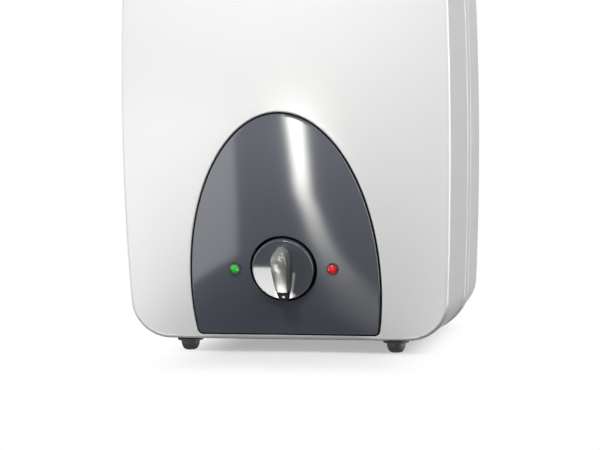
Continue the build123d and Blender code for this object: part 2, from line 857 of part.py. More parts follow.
def bolt_place(angle, height):
    """Place of one flange bolt."""
    x = flange_bolt_circle * math.cos(angle)
    y = flange_bolt_circle * math.sin(angle)
    return Pos(x, tank_depth + y, height)


def make_flange_gasket():
    """Rubber gasket between the tank flange and the element flange."""
    disc = ring(tank_flange_radius, neck_bore, flange_gasket_thickness)
    disc = Pos(0, tank_depth, flange_top) * disc
    for angle in bolt_angles():
        disc = disc - bolt_place(angle, flange_top) * Cylinder(flange_bolt_radius + thread_play, overrun)
    return disc


def make_element_flange():
    """Steel plate that closes the tank and carries element, thermowell and anode."""
    disc = Cylinder(tank_flange_radius, element_flange_thickness, align=flat)
    disc = Pos(0, tank_depth, flange_underside) * disc
    disc = fillet(disc.edges().sort_by(Axis.Z)[0], screw_head_height / 2)
    for angle in bolt_angles():
        disc = disc - bolt_place(angle, flange_top) * Cylinder(flange_bolt_radius + thread_play, overrun)
    for x in both_sides(element_half_pitch):
        disc = disc - Pos(x, tank_depth, flange_top) * Cylinder(element_tube_radius + thread_play, overrun)
    well = Cylinder(thermowell_radius + thread_play, overrun)
    disc = disc - Pos(0, tank_depth - thermowell_offset, flange_top) * well
    core = Cylinder(anode_core_radius + thread_play, overrun)
    return disc - Pos(0, tank_depth + anode_offset, flange_top) * core


def make_flange_bolts():
    """Hexagon bolts of the element flange."""
    head = extrude(RegularPolygon(flange_bolt_head_radius, flange_bolt_count), -flange_bolt_head_height)
    length = element_flange_thickness + flange_gasket_thickness + tank_flange_thickness
    one = head + Cylinder(flange_bolt_radius, length, align=flat)
    return [bolt_place(angle, flange_underside) * one for angle in bolt_angles()]


def make_heating_element():
    """Hairpin tube with a terminal stud on each leg."""
    low = flange_underside - thread_play
    high = low + element_rise
    right = (element_half_pitch, 0, high)
    left = (-element_half_pitch, 0, high)
    crown = (0, 0, high + element_half_pitch)
    path = Line((element_half_pitch, 0, low), right) + ThreePointArc(right, crown, left)
    path = path + Line(left, (-element_half_pitch, 0, low))
    section = Plane((element_half_pitch, 0, low), z_dir=(0, 0, 1)) * Circle(element_tube_radius)
    hairpin = sweep(section, path=path)
    for x in both_sides(element_half_pitch):
        stud = Cylinder(element_stud_radius, element_stud_length, align=hang)
        hairpin = hairpin + Pos(x, 0, low) * stud
    return Pos(0, tank_depth, 0) * hairpin


def make_thermowell():
    """Closed tube for the sensing bulb with a collar under the flange."""
    base = flange_underside - thermowell_collar_length
    body = Cylinder(thermowell_radius, thermowell_length + thermowell_collar_length, align=flat)
    body = body + Cylinder(thermowell_collar_radius, thermowell_collar_length, align=flat)
    depth = thermowell_length + thermowell_collar_length - thermowell_tip
    body = body - Cylinder(thermowell_bore, depth, align=flat)
    return Pos(0, tank_depth - thermowell_offset, base) * body


def make_sensing_bulb():
    """Sensing bulb at the end of the capillary tube."""
    base = flange_underside - thermowell_collar_length
    bulb = Cylinder(thermowell_bore - bulb_play, bulb_length, align=flat)
    bulb = fillet(bulb.edges(), capillary_radius)
    return Pos(0, tank_depth - thermowell_offset, base) * bulb


def make_anode():
    """Magnesium rod cast on a steel core that is fixed in the flange."""
    low = flange_top + anode_seat
    rod = Pos(0, 0, low) * Cylinder(anode_radius, anode_length, align=flat)
    rod = fillet(rod.edges().sort_by(Axis.Z)[-1], anode_core_radius)
    core = Pos(0, 0, flange_underside) * Cylinder(anode_core_radius, low - flange_underside, align=flat)
    return Pos(0, tank_depth + anode_offset, 0) * (rod + core)


def interior(inset):
    """Room inside both shells."""
    return front_core(inset) + rear_core(inset)


def layer_box(low, high):
    """Very wide box between two heights."""
    box = Box(2 * body_width, 4 * body_depth, high - low, align=flat)
    return Pos(0, 0, low) * box


def control_room(height):
    """Room kept clear behind the control panel and round the thermostat."""
    side = bracket_side + 2 * thermostat_room
    reach = knob_plane.origin.Y + bracket_back + thermostat_thickness + thermostat_room
    box = Box(side, reach, height, align=(Align.CENTER, Align.MIN, Align.MIN))
    depth = panel_thickness - panel_proud + gasket_thickness + panel_backing + 3 * clip_hook + foam_play
    return box + (slab(-overrun, depth) & arch(panel_gap + backing_margin + foam_play))


def make_support_plate():
    """Steel plate on the four posts that carries insulation and tank."""
    plate = layer_box(plate_underside, plate_top) & interior(wall + plate_play)
    hole = Cylinder(tank_flange_radius + plate_hole_play, overrun)
    plate = plate - Pos(0, tank_depth, plate_top) * hole
    plate = plate - control_room(plate_top + overrun)
    for x, y in foot_places:
        plate = plate - Pos(x, y, plate_top) * Cylinder(screw_radius + screw_hole_play, overrun)
    return plate


def make_plate_screws():
    """Screws that hold the support plate down on the posts."""
    one = screw(screw_radius, plate_screw_length, screw_head_radius, screw_head_height)
    return [Pos(x, y, plate_top) * one for x, y in foot_places]


def make_foam(front):
    """Front or rear half of the moulded insulation."""
    core = front_core if front else rear_core
    high = body_top - wall - foam_top_gap
    foam = core(wall + foam_play) & layer_box(plate_top, high)
    foam = foam - tank_form(-foam_play)
    clear = screw_head_radius + foam_play
    for x, y in foot_places:
        foam = foam - Pos(x, y, plate_top) * Cylinder(clear, 2 * (screw_head_height + foam_play))
    neck = Cylinder(tank_flange_radius + plate_hole_play, 2 * (tank_bottom - plate_top) + tank_dish)
    foam = foam - Pos(0, tank_depth, plate_top) * neck
    for x, base, radius in spuds:
        room = Cylinder(radius + spud_radius - pipe_radius + foam_play, overrun * 2, align=flat)
        foam = foam - Pos(x, pipe_depth, base - overrun / 2) * room
    room_top = knob_centre_height + thermostat_side + thermostat_room
    foam = foam - control_room(room_top)
    for x in both_sides(hook_spread):
        room = Box(
            hook_width + 2 * hook_slot_play, 4 * wall, 2 * hook_rise + 2 * hook_slot_play)
        foam = foam - Pos(x, body_depth - wall, wall_bracket_centre) * room
    for x in both_sides(bracket_screw_spread):
        room = Rot(90, 0, 0) * Cylinder(small_screw_radius + foam_play, 4 * wall)
        foam = foam - Pos(x, body_depth - wall, wall_bracket_centre) * room
    lip = tube_of_outline(0, seam_depth - seam_gap / 2 - foam_play, seam_depth + seam_gap / 2 + foam_play)
    lip = lip - tube_of_outline(band_setback + band_lip + foam_play, seam_depth - overrun, seam_depth + overrun)
    foam = foam - lip
    spacer = Box(2 * body_width, foam_play, 2 * body_height)
    return foam - Pos(0, seam_depth, mid_height) * spacer


def make_pipe(x, deep, slotted):
    """Nipple from the tank to above the casing, with its threaded end."""
    top = boss_top + pipe_rise
    low = pipe_spud_base + spud_height - deep
    pipe = Pos(0, 0, low) * Cylinder(pipe_radius, top - low, align=flat)
    relief = ring(pipe_radius + overrun, pipe_radius - thread_relief, thread_relief * 2)
    pipe = pipe - Pos(0, 0, top - thread_length - thread_relief * 2) * relief
    tip = pipe.edges().group_by(Axis.Z)[-1]
    pipe = chamfer(tip, thread_relief)
    pipe = pipe - Pos(0, 0, low) * Cylinder(pipe_bore, top - low, align=flat)
    if slotted:
        slot = Box(4 * pipe_radius, inlet_slot_width, inlet_slot_length, align=flat)
        pipe = pipe - Pos(0, 0, low + inlet_slot_width) * slot
    return Pos(x, pipe_depth, 0) * pipe


def make_collar(x):
    """Coloured collar on the casing round a pipe."""
    body = ring(collar_radius, pipe_radius + collar_play, collar_thickness)
    body = fillet(body.edges().group_by(Axis.Z)[-1].sort_by(SortBy.LENGTH)[-1], collar_round)
    return Pos(x, pipe_depth, boss_top) * body


hex_base = boss_top + relief_hex_lift
barrel_base = hex_base + relief_hex_height
bonnet_base = barrel_base + relief_barrel_height
bonnet_top = bonnet_base + bonnet_height
seat_height = barrel_base + relief_seat_rise
pin_height = bonnet_top + pin_over_bonnet
disc_base = seat_height + disc_rest_gap
outlet_height = barrel_base + relief_outlet_rise


def make_relief_body():
    """Brass valve body: thread, hexagon, barrel, side outlet and seat."""
    low = relief_spud_base
    body = Pos(0, 0, low) * Cylinder(relief_thread_radius, hex_base - low, align=flat)
    hexagon = extrude(RegularPolygon(relief_hex_radius, hexagon_sides), relief_hex_height)
    body = body + Pos(0, 0, hex_base) * hexagon
    barrel = Cylinder(relief_barrel_radius, relief_barrel_height, align=flat)
    body = body + Pos(0, 0, barrel_base) * barrel
    outlet = Plane((0, 0, outlet_height), z_dir=(0, 1, 0))
    body = body + outlet * Cylinder(relief_outlet_radius, relief_outlet_reach, align=flat)
    chamber = Cylinder(relief_chamber_radius, bonnet_base - seat_height, align=flat)
    body = body - Pos(0, 0, seat_height) * chamber
    body = body - Pos(0, 0, low) * Cylinder(relief_port_bore, seat_height - low, align=flat)
    body = body - outlet * Cylinder(relief_outlet_way, relief_outlet_reach, align=flat)
    socket_floor = relief_outlet_reach - relief_outlet_depth
    socket = Cylinder(relief_outlet_bore, relief_outlet_depth, align=flat)
    body = body - outlet * Pos(0, 0, socket_floor) * socket
    return Pos(0, pipe_depth, 0) * body


def make_relief_bonnet():
    """Screwed cap over the spring, with the stem guide in its roof."""
    cone = Cone(relief_barrel_radius, bonnet_top_radius, bonnet_height, align=flat)
    spigot_radius = relief_chamber_radius - bonnet_spigot_play
    cap = cone + Cylinder(spigot_radius, bonnet_spigot, align=hang)
    room = bonnet_height - bonnet_roof + bonnet_spigot
    cap = cap - Pos(0, 0, -bonnet_spigot) * Cylinder(bonnet_bore, room, align=flat)
    cap = cap - Cylinder(stem_radius + stem_running_gap, overrun, align=flat)
    return Pos(0, pipe_depth, bonnet_base) * cap


def make_relief_stem():
    """Valve disc and stem with the cross hole for the lever pin."""
    disc = Pos(0, 0, disc_base) * Cylinder(disc_radius, disc_thickness, align=flat)
    top = pin_height + stem_above_pin
    stem = Pos(0, 0, disc_base) * Cylinder(stem_radius, top - disc_base, align=flat)
    body = disc + stem
    tip = body.edges().group_by(Axis.Z)[-1]
    body = fillet(tip, ear_gap)
    cross = Rot(0, 90, 0) * Cylinder(pin_radius + running_clearance / 2, overrun)
    return Pos(0, pipe_depth, 0) * (body - Pos(0, 0, pin_height) * cross)


def make_relief_spring():
    """Compression spring between the valve disc and the bonnet roof."""
    low = disc_base + disc_thickness + spring_end_gap + spring_wire_radius
    high = bonnet_top - bonnet_roof - spring_end_gap - spring_wire_radius
    path = Helix((high - low) / spring_turns, high - low, spring_mean_radius)
    section = Plane(path @ 0, z_dir=path % 0) * Circle(spring_wire_radius)
    coil = sweep(section, path=path, is_frenet=True)
    return Pos(0, pipe_depth, low) * coil


def make_lever_pin():
    """Cross pin of the test lever."""
    pin = Rot(0, 90, 0) * Cylinder(pin_radius, 2 * pin_half_length)
    return Pos(0, pipe_depth, pin_height) * pin


def make_relief_lever():
    """Test lever: two cam ears and a curved handle that points forwards."""
    inner = stem_radius + ear_gap
    outer = inner + ear_thickness
    profile = Pos(cam_offset, cam_offset) * Circle(cam_radius)
    arm_high = lever_plate_rise + lever_plate_thickness
    arm = Polyline(
        (0, -pin_radius), (cam_offset, arm_high), (-lever_plate_start - ear_thickness, arm_high),
        (-lever_plate_start - ear_thickness, lever_plate_rise), (0, -pin_radius))
    profile = profile + make_face(arm)
    side = Plane((0, 0, 0), x_dir=(0, 1, 0), z_dir=(1, 0, 0)) * profile
    ears = extrude(side, outer) + extrude(side, -outer)
    ears = ears - Box(2 * inner, overrun, overrun)
    ears = ears - Rot(0, 90, 0) * Cylinder(pin_radius + running_clearance, overrun)
    start = -lever_plate_start
    end = -lever_length
    middle = (start + (end - start) * lever_bend_share, lever_plate_rise)
    under = ThreePointArc(
        (start, lever_plate_rise), middle, (end, lever_plate_rise + lever_tip_lift))
    over = ThreePointArc(
        (end, lever_plate_rise + lever_tip_lift + lever_plate_thickness),
        (middle[0], lever_plate_rise + lever_plate_thickness),
        (start, lever_plate_rise + lever_plate_thickness))
    strip = make_face([
        under, Line(under @ 1, over @ 0), over, Line(over @ 1, under @ 0)])
    strip = Plane((-lever_plate_half_width, 0, 0), x_dir=(0, 1, 0), z_dir=(1, 0, 0)) * strip
    handle = extrude(strip, 2 * lever_plate_half_width)
    corners = handle.edges().filter_by(Axis.Z, tolerance=lever_edge_tilt).group_by(Axis.Y)[0]
    handle = fillet(corners, lever_plate_half_width / 2)
    return Pos(0, pipe_depth, pin_height) * (ears + handle)


def make_cutout():
    """Disc limit cut-out with two ears under the support plate."""
    low = plate_underside - cutout_height
    body = Pos(0, 0, low) * Cylinder(cutout_radius, cutout_height, align=flat)
    ears = Box(2 * cutout_ear_length, 2 * cutout_ear_half_width, cutout_ear_thickness, align=hang)
    body = body + Pos(0, 0, plate_underside) * ears
    cavity_low = low + button_roof
    cavity = Cylinder(button_cavity_radius, button_cavity_height, align=flat)
    body = body - Pos(0, 0, cavity_low) * cavity
    guide = Cylinder(button_radius + running_clearance, button_roof, align=flat)
    return Pos(-cutout_spread, cutout_depth, 0) * (body - Pos(0, 0, low) * guide)


def make_reset_button():
    """Red reset button with the collar that keeps it in."""
    low = plate_underside - cutout_height - button_out
    body = Cylinder(button_radius, button_out + button_roof + button_seat_gap, align=flat)
    body = fillet(body.edges().sort_by(Axis.Z)[0], button_round)
    collar_low = button_out + button_roof + button_seat_gap
    collar = Cylinder(button_collar_radius, button_collar_thickness, align=flat)
    body = body + Pos(0, 0, collar_low) * collar
    return Pos(-cutout_spread, cutout_depth, low) * body


def make_earth_stud():
    """Earth stud under the support plate with its nut."""
    stud = Cylinder(earth_radius, earth_length, align=hang)
    nut = extrude(RegularPolygon(earth_nut_radius, hexagon_sides), -earth_nut_height)
    return Pos(earth_x, earth_depth, plate_underside) * (stud + nut)


def make_terminal_block():
    """Terminal block with open screw wells on top."""
    size = (terminal_block_length, terminal_block_width, terminal_block_height)
    block = Box(*size, align=flat)
    block = chamfer(block.edges().filter_by(Axis.X).group_by(Axis.Z)[-1], terminal_hole_radius)
    for i in range(terminal_count):
        x = (i - (terminal_count - 1) / 2) * terminal_pitch
        well = Cylinder(terminal_hole_radius, terminal_hole_depth, align=hang)
        block = block - Pos(x, 0, terminal_block_height) * well
    return Pos(terminal_block_x, terminal_block_depth, terminal_block_base) * block


def make_gland():
    """Cable gland body in the floor of the cord pocket."""
    flange = Cylinder(gland_flange_radius, gland_flange_thickness, align=flat)
    neck = Cylinder(gland_thread_radius, gland_flange_thickness + gland_neck_length, align=flat)
    inner = Cylinder(gland_thread_radius, gland_inner_length, align=hang)
    body = flange + neck + inner
    bore = Pos(0, 0, -gland_inner_length) * Cylinder(gland_liner_radius, overrun, align=flat)
    return gland_plane * (body - bore)


def make_gland_cap():
    """Clamping cap on the outer end of the gland."""
    base = gland_flange_thickness
    cap = Pos(0, 0, base) * Cylinder(gland_cap_radius, gland_cap_length, align=flat)
    cap = fillet(cap.edges().sort_by(Axis.Z)[-1], gland_cap_radius - gland_thread_radius)
    cap = cap - Cylinder(gland_thread_radius + running_clearance, base + gland_neck_length, align=flat)
    return gland_plane * (cap - Cylinder(gland_liner_radius, overrun, align=flat))


def make_gland_liner():
    """Rubber sleeve that grips the cord."""
    length = gland_inner_length + gland_flange_thickness + gland_cap_length
    sleeve = ring(gland_liner_radius - running_clearance, gland_bore, length)
    return gland_plane * Pos(0, 0, -gland_inner_length) * sleeve


def make_gland_nut():
    """Lock nut on the inner side of the pocket floor."""
    nut = extrude(RegularPolygon(gland_nut_radius, hexagon_sides), -gland_nut_thickness)
    nut = nut - Cylinder(gland_thread_radius + running_clearance, overrun)
    return gland_plane * Pos(0, 0, -wall) * nut


def wire(points):
    """Insulated wire along straight runs with rounded corners."""
    path = FilletPolyline(*points, radius=wire_bend)
    first = Vector(*points[0])
    second = Vector(*points[1])
    section = Plane(first, z_dir=second - first) * Circle(wire_radius)
    return sweep(section, path=path)


def make_wiring():
    """Wires from the terminal block to the cut-out and the element."""
    block_front = terminal_block_depth - terminal_block_width / 2
    height = terminal_block_base + terminal_block_height / 2
    stud_foot = flange_underside - thread_play - element_stud_length
    runs = []
    near = terminal_block_x - terminal_pitch
    runs.append([
        (near, block_front, height), (near, tank_depth, height), (element_half_pitch, tank_depth, wire_low),
        (element_half_pitch, tank_depth, stud_foot)])
    side = -cutout_spread + cutout_radius - wire_tab
    cutout_low = plate_underside - cutout_height
    runs.append([
        (side, cutout_depth, cutout_low), (side, cutout_depth, wire_low),
        (-element_half_pitch, tank_depth, wire_low - wire_tab), (-element_half_pitch, tank_depth, stud_foot)])
    far = terminal_block_x + terminal_pitch
    earth_foot = plate_underside - earth_length
    runs.append([
        (far, block_front, height), (far, earth_depth, height), (earth_x, earth_depth, wire_low),
        (earth_x, earth_depth, earth_foot)])
    return [wire(points) for points in runs]


def make_wall_bracket():
    """Steel wall bracket with two hooks that enter the slots of the rear shell."""
    plate = RectangleRounded(wall_bracket_width, wall_bracket_height, wall_bracket_round)
    for x in both_sides(wall_hole_spread_x):
        for z in both_sides(wall_hole_spread_z):
            plate = plate - Pos(x, z) * Circle(wall_hole_radius)
    for x in both_sides(bracket_screw_spread):
        plate = plate - Pos(x, 0) * Circle(small_screw_radius + screw_hole_play)
    body = extrude(upright(body_depth, wall_bracket_centre) * plate, -wall_bracket_thickness)
    inner = body_depth - wall - hook_slot_play
    for x in both_sides(hook_spread):
        arm = Box(
            hook_width, wall + hook_slot_play + wall_bracket_thickness, wall_bracket_thickness,
            align=(Align.CENTER, Align.MIN, Align.MIN))
        tongue = Box(
            hook_width, wall_bracket_thickness, hook_rise,
            align=(Align.CENTER, Align.MAX, Align.MIN))
        base = wall_bracket_centre - hook_rise / 2
        body = body + Pos(x, inner, base) * (arm + tongue)
    return body


def make_bracket_screws():
    """Two screws that hold the wall bracket to the casing."""
    one = screw(small_screw_radius, small_screw_length, small_screw_head_radius, small_screw_head_height)
    back = body_depth + wall_bracket_thickness
    return [Pos(x, back, wall_bracket_centre) * (Rot(-90, 0, 0) * one) for x in both_sides(bracket_screw_spread)]


pieces = {
    "front_shell": make_front_shell(),
    "rear_shell": make_rear_shell(),
    "seam_band": make_seam_band(),
    "control_panel": make_control_panel(),
    "panel_gasket": make_panel_gasket(),
    "knob_dial": make_knob_dial(),
    "knob_pointer": make_knob_pointer(),
    "thermostat_spindle": make_spindle(),
    "thermostat_body": make_thermostat(),
    "thermostat_bracket": make_thermostat_bracket(),
    "thermostat_screws": make_thermostat_screws(),
    "capillary_tube": make_capillary(),
    "sensing_bulb": make_sensing_bulb(),
    "thermowell": make_thermowell(),
    "green_lens": make_lens(lamp_planes[0]),
    "red_lens": make_lens(lamp_planes[1]),
    "lamp_bezels": [make_lamp_bezel(plane) for plane in lamp_planes],
    "lamp_holders": [make_lamp_holder(plane) for plane in lamp_planes],
    "feet": [make_foot(x, y) for x, y in foot_places],
    "foot_screws": make_foot_screws(),
    "support_plate": make_support_plate(),
    "plate_screws": make_plate_screws(),
    "foam_front": make_foam(True),
    "foam_rear": make_foam(False),
    "tank": make_tank(),
    "flange_gasket": make_flange_gasket(),
    "element_flange": make_element_flange(),
    "flange_bolts": make_flange_bolts(),
    "heating_element": make_heating_element(),
    "anode_rod": make_anode(),
    "cold_inlet_pipe": make_pipe(pipe_spread, inlet_depth_in_tank, True),
    "hot_outlet_pipe": make_pipe(-pipe_spread, outlet_depth_in_tank, False),
    "cold_collar": make_collar(pipe_spread),
    "hot_collar": make_collar(-pipe_spread),
    "relief_valve_body": make_relief_body(),
    "relief_valve_bonnet": make_relief_bonnet(),
    "relief_valve_stem": make_relief_stem(),
    "relief_valve_spring": make_relief_spring(),
    "lever_pin": make_lever_pin(),
    "relief_valve_lever": make_relief_lever(),
    "limit_cutout": make_cutout(),
    "reset_button": make_reset_button(),
    "earth_stud": make_earth_stud(),
    "terminal_block": make_terminal_block(),
    "cable_gland": make_gland(),
    "gland_cap": make_gland_cap(),
    "gland_liner": make_gland_liner(),
    "gland_nut": make_gland_nut(),
    "wiring": make_wiring(),
    "wall_bracket": make_wall_bracket(),
    "bracket_screws": make_bracket_screws(),
}


def joined(piece):
    """One piece, or a group of separate ones, as a single shape."""
    return Compound(children=piece) if isinstance(piece, list) else piece


shapes = {name: joined(piece) for name, piece in pieces.items()}
front_reach = min(shape.bounding_box().min.Y for shape in shapes.values())
back_reach = max(shape.bounding_box().max.Y for shape in shapes.values())
centring = -(front_reach + back_reach) / 2

os.makedirs("parts", exist_ok=True)
for name, shape in shapes.items():
    export_step(Pos(0, centring, 0) * shape, f"parts/{name}.step")
print("crown of the front face at depth", round(centring, 4))
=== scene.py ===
"""Looks of the electric mini-tank water heater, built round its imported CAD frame."""

import json
import math

import bmesh
import bpy
import numpy as np
from bpy.props import FloatProperty, FloatVectorProperty, PointerProperty
from mathutils import Matrix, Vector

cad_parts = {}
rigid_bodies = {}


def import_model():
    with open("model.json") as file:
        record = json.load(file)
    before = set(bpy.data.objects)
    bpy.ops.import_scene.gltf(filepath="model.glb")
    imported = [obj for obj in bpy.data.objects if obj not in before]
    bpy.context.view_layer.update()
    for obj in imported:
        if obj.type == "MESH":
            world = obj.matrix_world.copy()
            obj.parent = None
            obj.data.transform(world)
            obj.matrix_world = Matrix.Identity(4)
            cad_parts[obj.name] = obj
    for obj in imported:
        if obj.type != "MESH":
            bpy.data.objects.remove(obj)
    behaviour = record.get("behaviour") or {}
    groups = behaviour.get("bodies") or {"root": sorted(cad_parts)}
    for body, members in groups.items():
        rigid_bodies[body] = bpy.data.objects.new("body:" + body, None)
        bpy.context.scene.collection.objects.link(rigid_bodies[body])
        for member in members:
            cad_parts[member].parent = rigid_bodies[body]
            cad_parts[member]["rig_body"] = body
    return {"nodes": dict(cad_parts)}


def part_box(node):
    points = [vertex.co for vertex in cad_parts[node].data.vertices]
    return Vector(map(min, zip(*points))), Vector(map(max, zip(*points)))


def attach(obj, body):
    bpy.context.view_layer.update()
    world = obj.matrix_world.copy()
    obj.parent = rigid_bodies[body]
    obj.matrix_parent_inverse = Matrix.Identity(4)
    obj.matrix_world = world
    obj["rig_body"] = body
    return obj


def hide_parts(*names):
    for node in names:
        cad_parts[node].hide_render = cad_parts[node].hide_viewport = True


bl_info = {
    "name": "Electric water heater",
    "version": (1, 0, 0),
    "blender": (4, 5, 0),
    "location": "View3D > Sidebar > Water heater",
    "description": "Casing, control panel, fittings and studio of a small water heater",
    "category": "Object",
}

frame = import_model()

MM = 0.001
TINY = 1e-6

# Casing, in metres, as in the solids. Depths run back from the crown of the domed front. A drop is how far the
# face lies behind the crown at the middle of its top rim, of its side rim and in its corner.
BODY_WIDTH = 260 * MM
BODY_HEIGHT = 366.4 * MM
BODY_DEPTH = 250 * MM
FOOT_HEIGHT = 7.75 * MM
SEAM_DEPTH = 136 * MM
SEAM_GAP = 3 * MM
WALL = 2.5 * MM
SIDE_BOW = 6 * MM
END_BOW = 1 * MM
CORNER_RADIUS = 33 * MM
FRONT_DRAFT = 2.2 * MM
BACK_DRAFT = 2 * MM
DROP_TOP = 31.6 * MM
DROP_SIDE = 20.7 * MM
DROP_CORNER = 28 * MM
DROP_SHARED = DROP_SIDE + DROP_TOP - DROP_CORNER
HALF_WIDTH = BODY_WIDTH / 2
HALF_HEIGHT = BODY_HEIGHT / 2
MID_HEIGHT = FOOT_HEIGHT + HALF_HEIGHT
RIM_HALF_WIDTH = HALF_WIDTH - FRONT_DRAFT
RIM_HALF_HEIGHT = HALF_HEIGHT - FRONT_DRAFT
FRONT_SLOPE = FRONT_DRAFT / (SEAM_DEPTH - DROP_CORNER)
BACK_SLOPE = BACK_DRAFT / (BODY_DEPTH - SEAM_DEPTH)
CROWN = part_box("rear_shell")[1].y - BODY_DEPTH

# Strip of the front under the panel: sine of the ray at which it starts, share of the cut-out's rounding that is
# left there, and what the rolled edge gains
UNDER_PANEL = -0.62
LIP_BELOW = 0.06
EDGE_BELOW = 2.4 * MM

# Control panel and knob
PANEL_HALF_WIDTH = 73.5 * MM
PANEL_ARCH = 131.3 * MM
PANEL_SKIRT = 38.7 * MM
PANEL_CORNER = 4 * MM
PANEL_CENTRE = 52.85 * MM
PANEL_WALL = 3.6 * MM
OPENING_GROW = 0.5 * MM
KNOB_HEIGHT = 65.95 * MM
KNOB_CENTRE = np.array([0.0, KNOB_HEIGHT])
WELL_RADIUS = 25.2 * MM
WELL_DEEP = 6 * MM
WELL_EDGE = 0.3 * MM
LAMP_SPREAD = 37.7 * MM

# Feet: distance from the middle, then depth and height up to the underside of each pair
FOOT_SPREAD = 81 * MM
FOOT_PLACES = ((45 * MM, 9.3 * MM), (205 * MM, 8.7 * MM))

# Cord pocket and pipes
POCKET_X = 56 * MM
POCKET_HALF_WIDTH = 25 * MM
POCKET_LOW = 23.1 * MM
POCKET_HIGH = 65.1 * MM
POCKET_DEEP = 18 * MM
POCKET_CORNER = 3 * MM
PIPE_SPREAD = 55 * MM
PIPE_DEPTH = 158 * MM


class CasingSettings(bpy.types.PropertyGroup):
    """Sizes and colours of the two casing shells and the band between them."""

    edge: FloatProperty(
        name="Front edge", description="Rounding of the front face's rim", default=3 * MM, unit="LENGTH")
    back_edge: FloatProperty(
        name="Rear edge", description="Rounding of the back's rim", default=25 * MM, unit="LENGTH")
    bead: FloatProperty(
        name="Rim bead", description="Height of the bead on each shell's rim", default=0.79 * MM, unit="LENGTH")
    bead_width: FloatProperty(
        name="Bead width", description="Width of the bead on each shell's rim", default=16 * MM, unit="LENGTH")
    cut_chamfer: FloatProperty(
        name="Cut-out rounding", description="Rounding round the panel's cut-out", default=1.3 * MM, unit="LENGTH")
    colour: FloatVectorProperty(
        name="Casing colour", description="White of the moulded shells", default=(0.87, 0.87, 0.865),
        subtype="COLOR")
    band_colour: FloatVectorProperty(
        name="Band colour", description="Grey of the band in the seam", default=(0.07, 0.075, 0.07),
        subtype="COLOR")


class PanelSettings(bpy.types.PropertyGroup):
    """Sizes and colours of the arch-shaped control panel."""

    proud: FloatProperty(
        name="Proud", description="Height of the panel over the casing", default=0.6 * MM, unit="LENGTH")
    edge: FloatProperty(
        name="Panel edge", description="Rounding of the panel's rim", default=0.8 * MM, unit="LENGTH")
    gap: FloatProperty(
        name="Panel gap", description="Gap between the panel and the casing", default=1.4 * MM, unit="LENGTH")
    colour: FloatVectorProperty(
        name="Panel colour", description="Slate of the gloss panel", default=(0.086, 0.094, 0.118),
        subtype="COLOR")


class KnobSettings(bpy.types.PropertyGroup):
    """Sizes and colours of the thermostat knob."""

    radius: FloatProperty(
        name="Disc radius", description="Radius of the knob's disc", default=23.6 * MM, unit="LENGTH")
    proud: FloatProperty(
        name="Disc height", description="Height of the disc over the panel", default=3.4 * MM, unit="LENGTH")
    colour: FloatVectorProperty(
        name="Disc colour", description="Slate of the gloss disc", default=(0.082, 0.089, 0.108),
        subtype="COLOR")
    dot_colour: FloatVectorProperty(
        name="Pointer mark", description="Mark on the pointer", default=(0.9, 0.9, 0.9), subtype="COLOR")


class LampSettings(bpy.types.PropertyGroup):
    """Sizes and colours of the two pilot lights."""

    radius: FloatProperty(
        name="Lens radius", description="Radius of each lens", default=4.2 * MM, unit="LENGTH")
    bezel: FloatProperty(
        name="Bezel radius", description="Outer radius of each bezel", default=4.6 * MM, unit="LENGTH")
    green: FloatVectorProperty(
        name="Green", description="Colour of the left lens", default=(0.02, 0.42, 0.035), subtype="COLOR")
    red: FloatVectorProperty(
        name="Red", description="Colour of the right lens", default=(0.68, 0.008, 0.018), subtype="COLOR")


class StudioSettings(bpy.types.PropertyGroup):
    """Camera and lights."""

    azimuth: FloatProperty(
        name="Camera azimuth", description="Turn of the camera to the right of the front",
        default=math.radians(11.898), subtype="ANGLE")
    distance: FloatProperty(
        name="Camera distance", description="From the crown of the front", default=1390.5 * MM, unit="LENGTH")
    roll: FloatProperty(
        name="Camera roll", description="Turn of the picture", default=math.radians(-0.732), subtype="ANGLE")
    lens: FloatProperty(
        name="Focal length", description="In millimetres for a 36 mm wide sensor", default=111.38)
    shift_x: FloatProperty(name="Shift across", description="In picture widths", default=0.03793)
    shift_y: FloatProperty(name="Shift down", description="In picture widths", default=-0.20235)
    key: FloatProperty(name="Key light", description="Power of the key light", default=12.0, subtype="POWER")
    left: FloatProperty(
        name="Left light", description="Power of the low left light", default=1.55, subtype="POWER")
    right: FloatProperty(
        name="Right light", description="Power of the high right light", default=8.6, subtype="POWER")
    back: FloatProperty(name="Back light", description="Power of the light behind", default=4.5, subtype="POWER")
    fill: FloatProperty(name="Fill", description="Strength of the room's soft light", default=0.4)


SETTINGS = {
    "heater_casing": CasingSettings,
    "heater_panel": PanelSettings,
    "heater_knob": KnobSettings,
    "heater_lamps": LampSettings,
    "heater_studio": StudioSettings,
}


# Surfaces


def rays(turn):
    """Unit directions in a plane at some angles."""
    return np.stack([np.cos(turn), np.sin(turn)], axis=-1)


def quarter_turn(steps):
    """Cosine and sine at even steps through a quarter turn, to round an edge."""
    return rays(np.linspace(0, math.pi / 2, steps))


def sheet(points, wrap=False):
    """Quads over a grid of points, rows by columns, closed round the columns where wrap is set."""
    rows, columns = points.shape[:2]
    index = np.arange(rows * columns).reshape(rows, columns)
    if wrap:
        index = np.concatenate([index, index[:, :1]], axis=1)
    corners = [index[:-1, :-1], index[1:, :-1], index[1:, 1:], index[:-1, 1:]]
    return points.reshape(-1, 3), np.stack(corners, axis=-1).reshape(-1, 4)


def closed_sheet(rows):
    """Sheet through rows of points that run all round."""
    return sheet(np.stack(rows), wrap=True)


def add_object(name, data):
    """A new object of the scene, for a mesh, a lamp or a camera."""
    made = bpy.data.objects.new(name, data)
    bpy.context.scene.collection.objects.link(made)
    return made


def new_mesh(name, points, quads, material):
    """A mesh of quads with one material."""
    mesh = bpy.data.meshes.new(name)
    mesh.from_pydata(points, [], quads)
    mesh.materials.append(material)
    return mesh


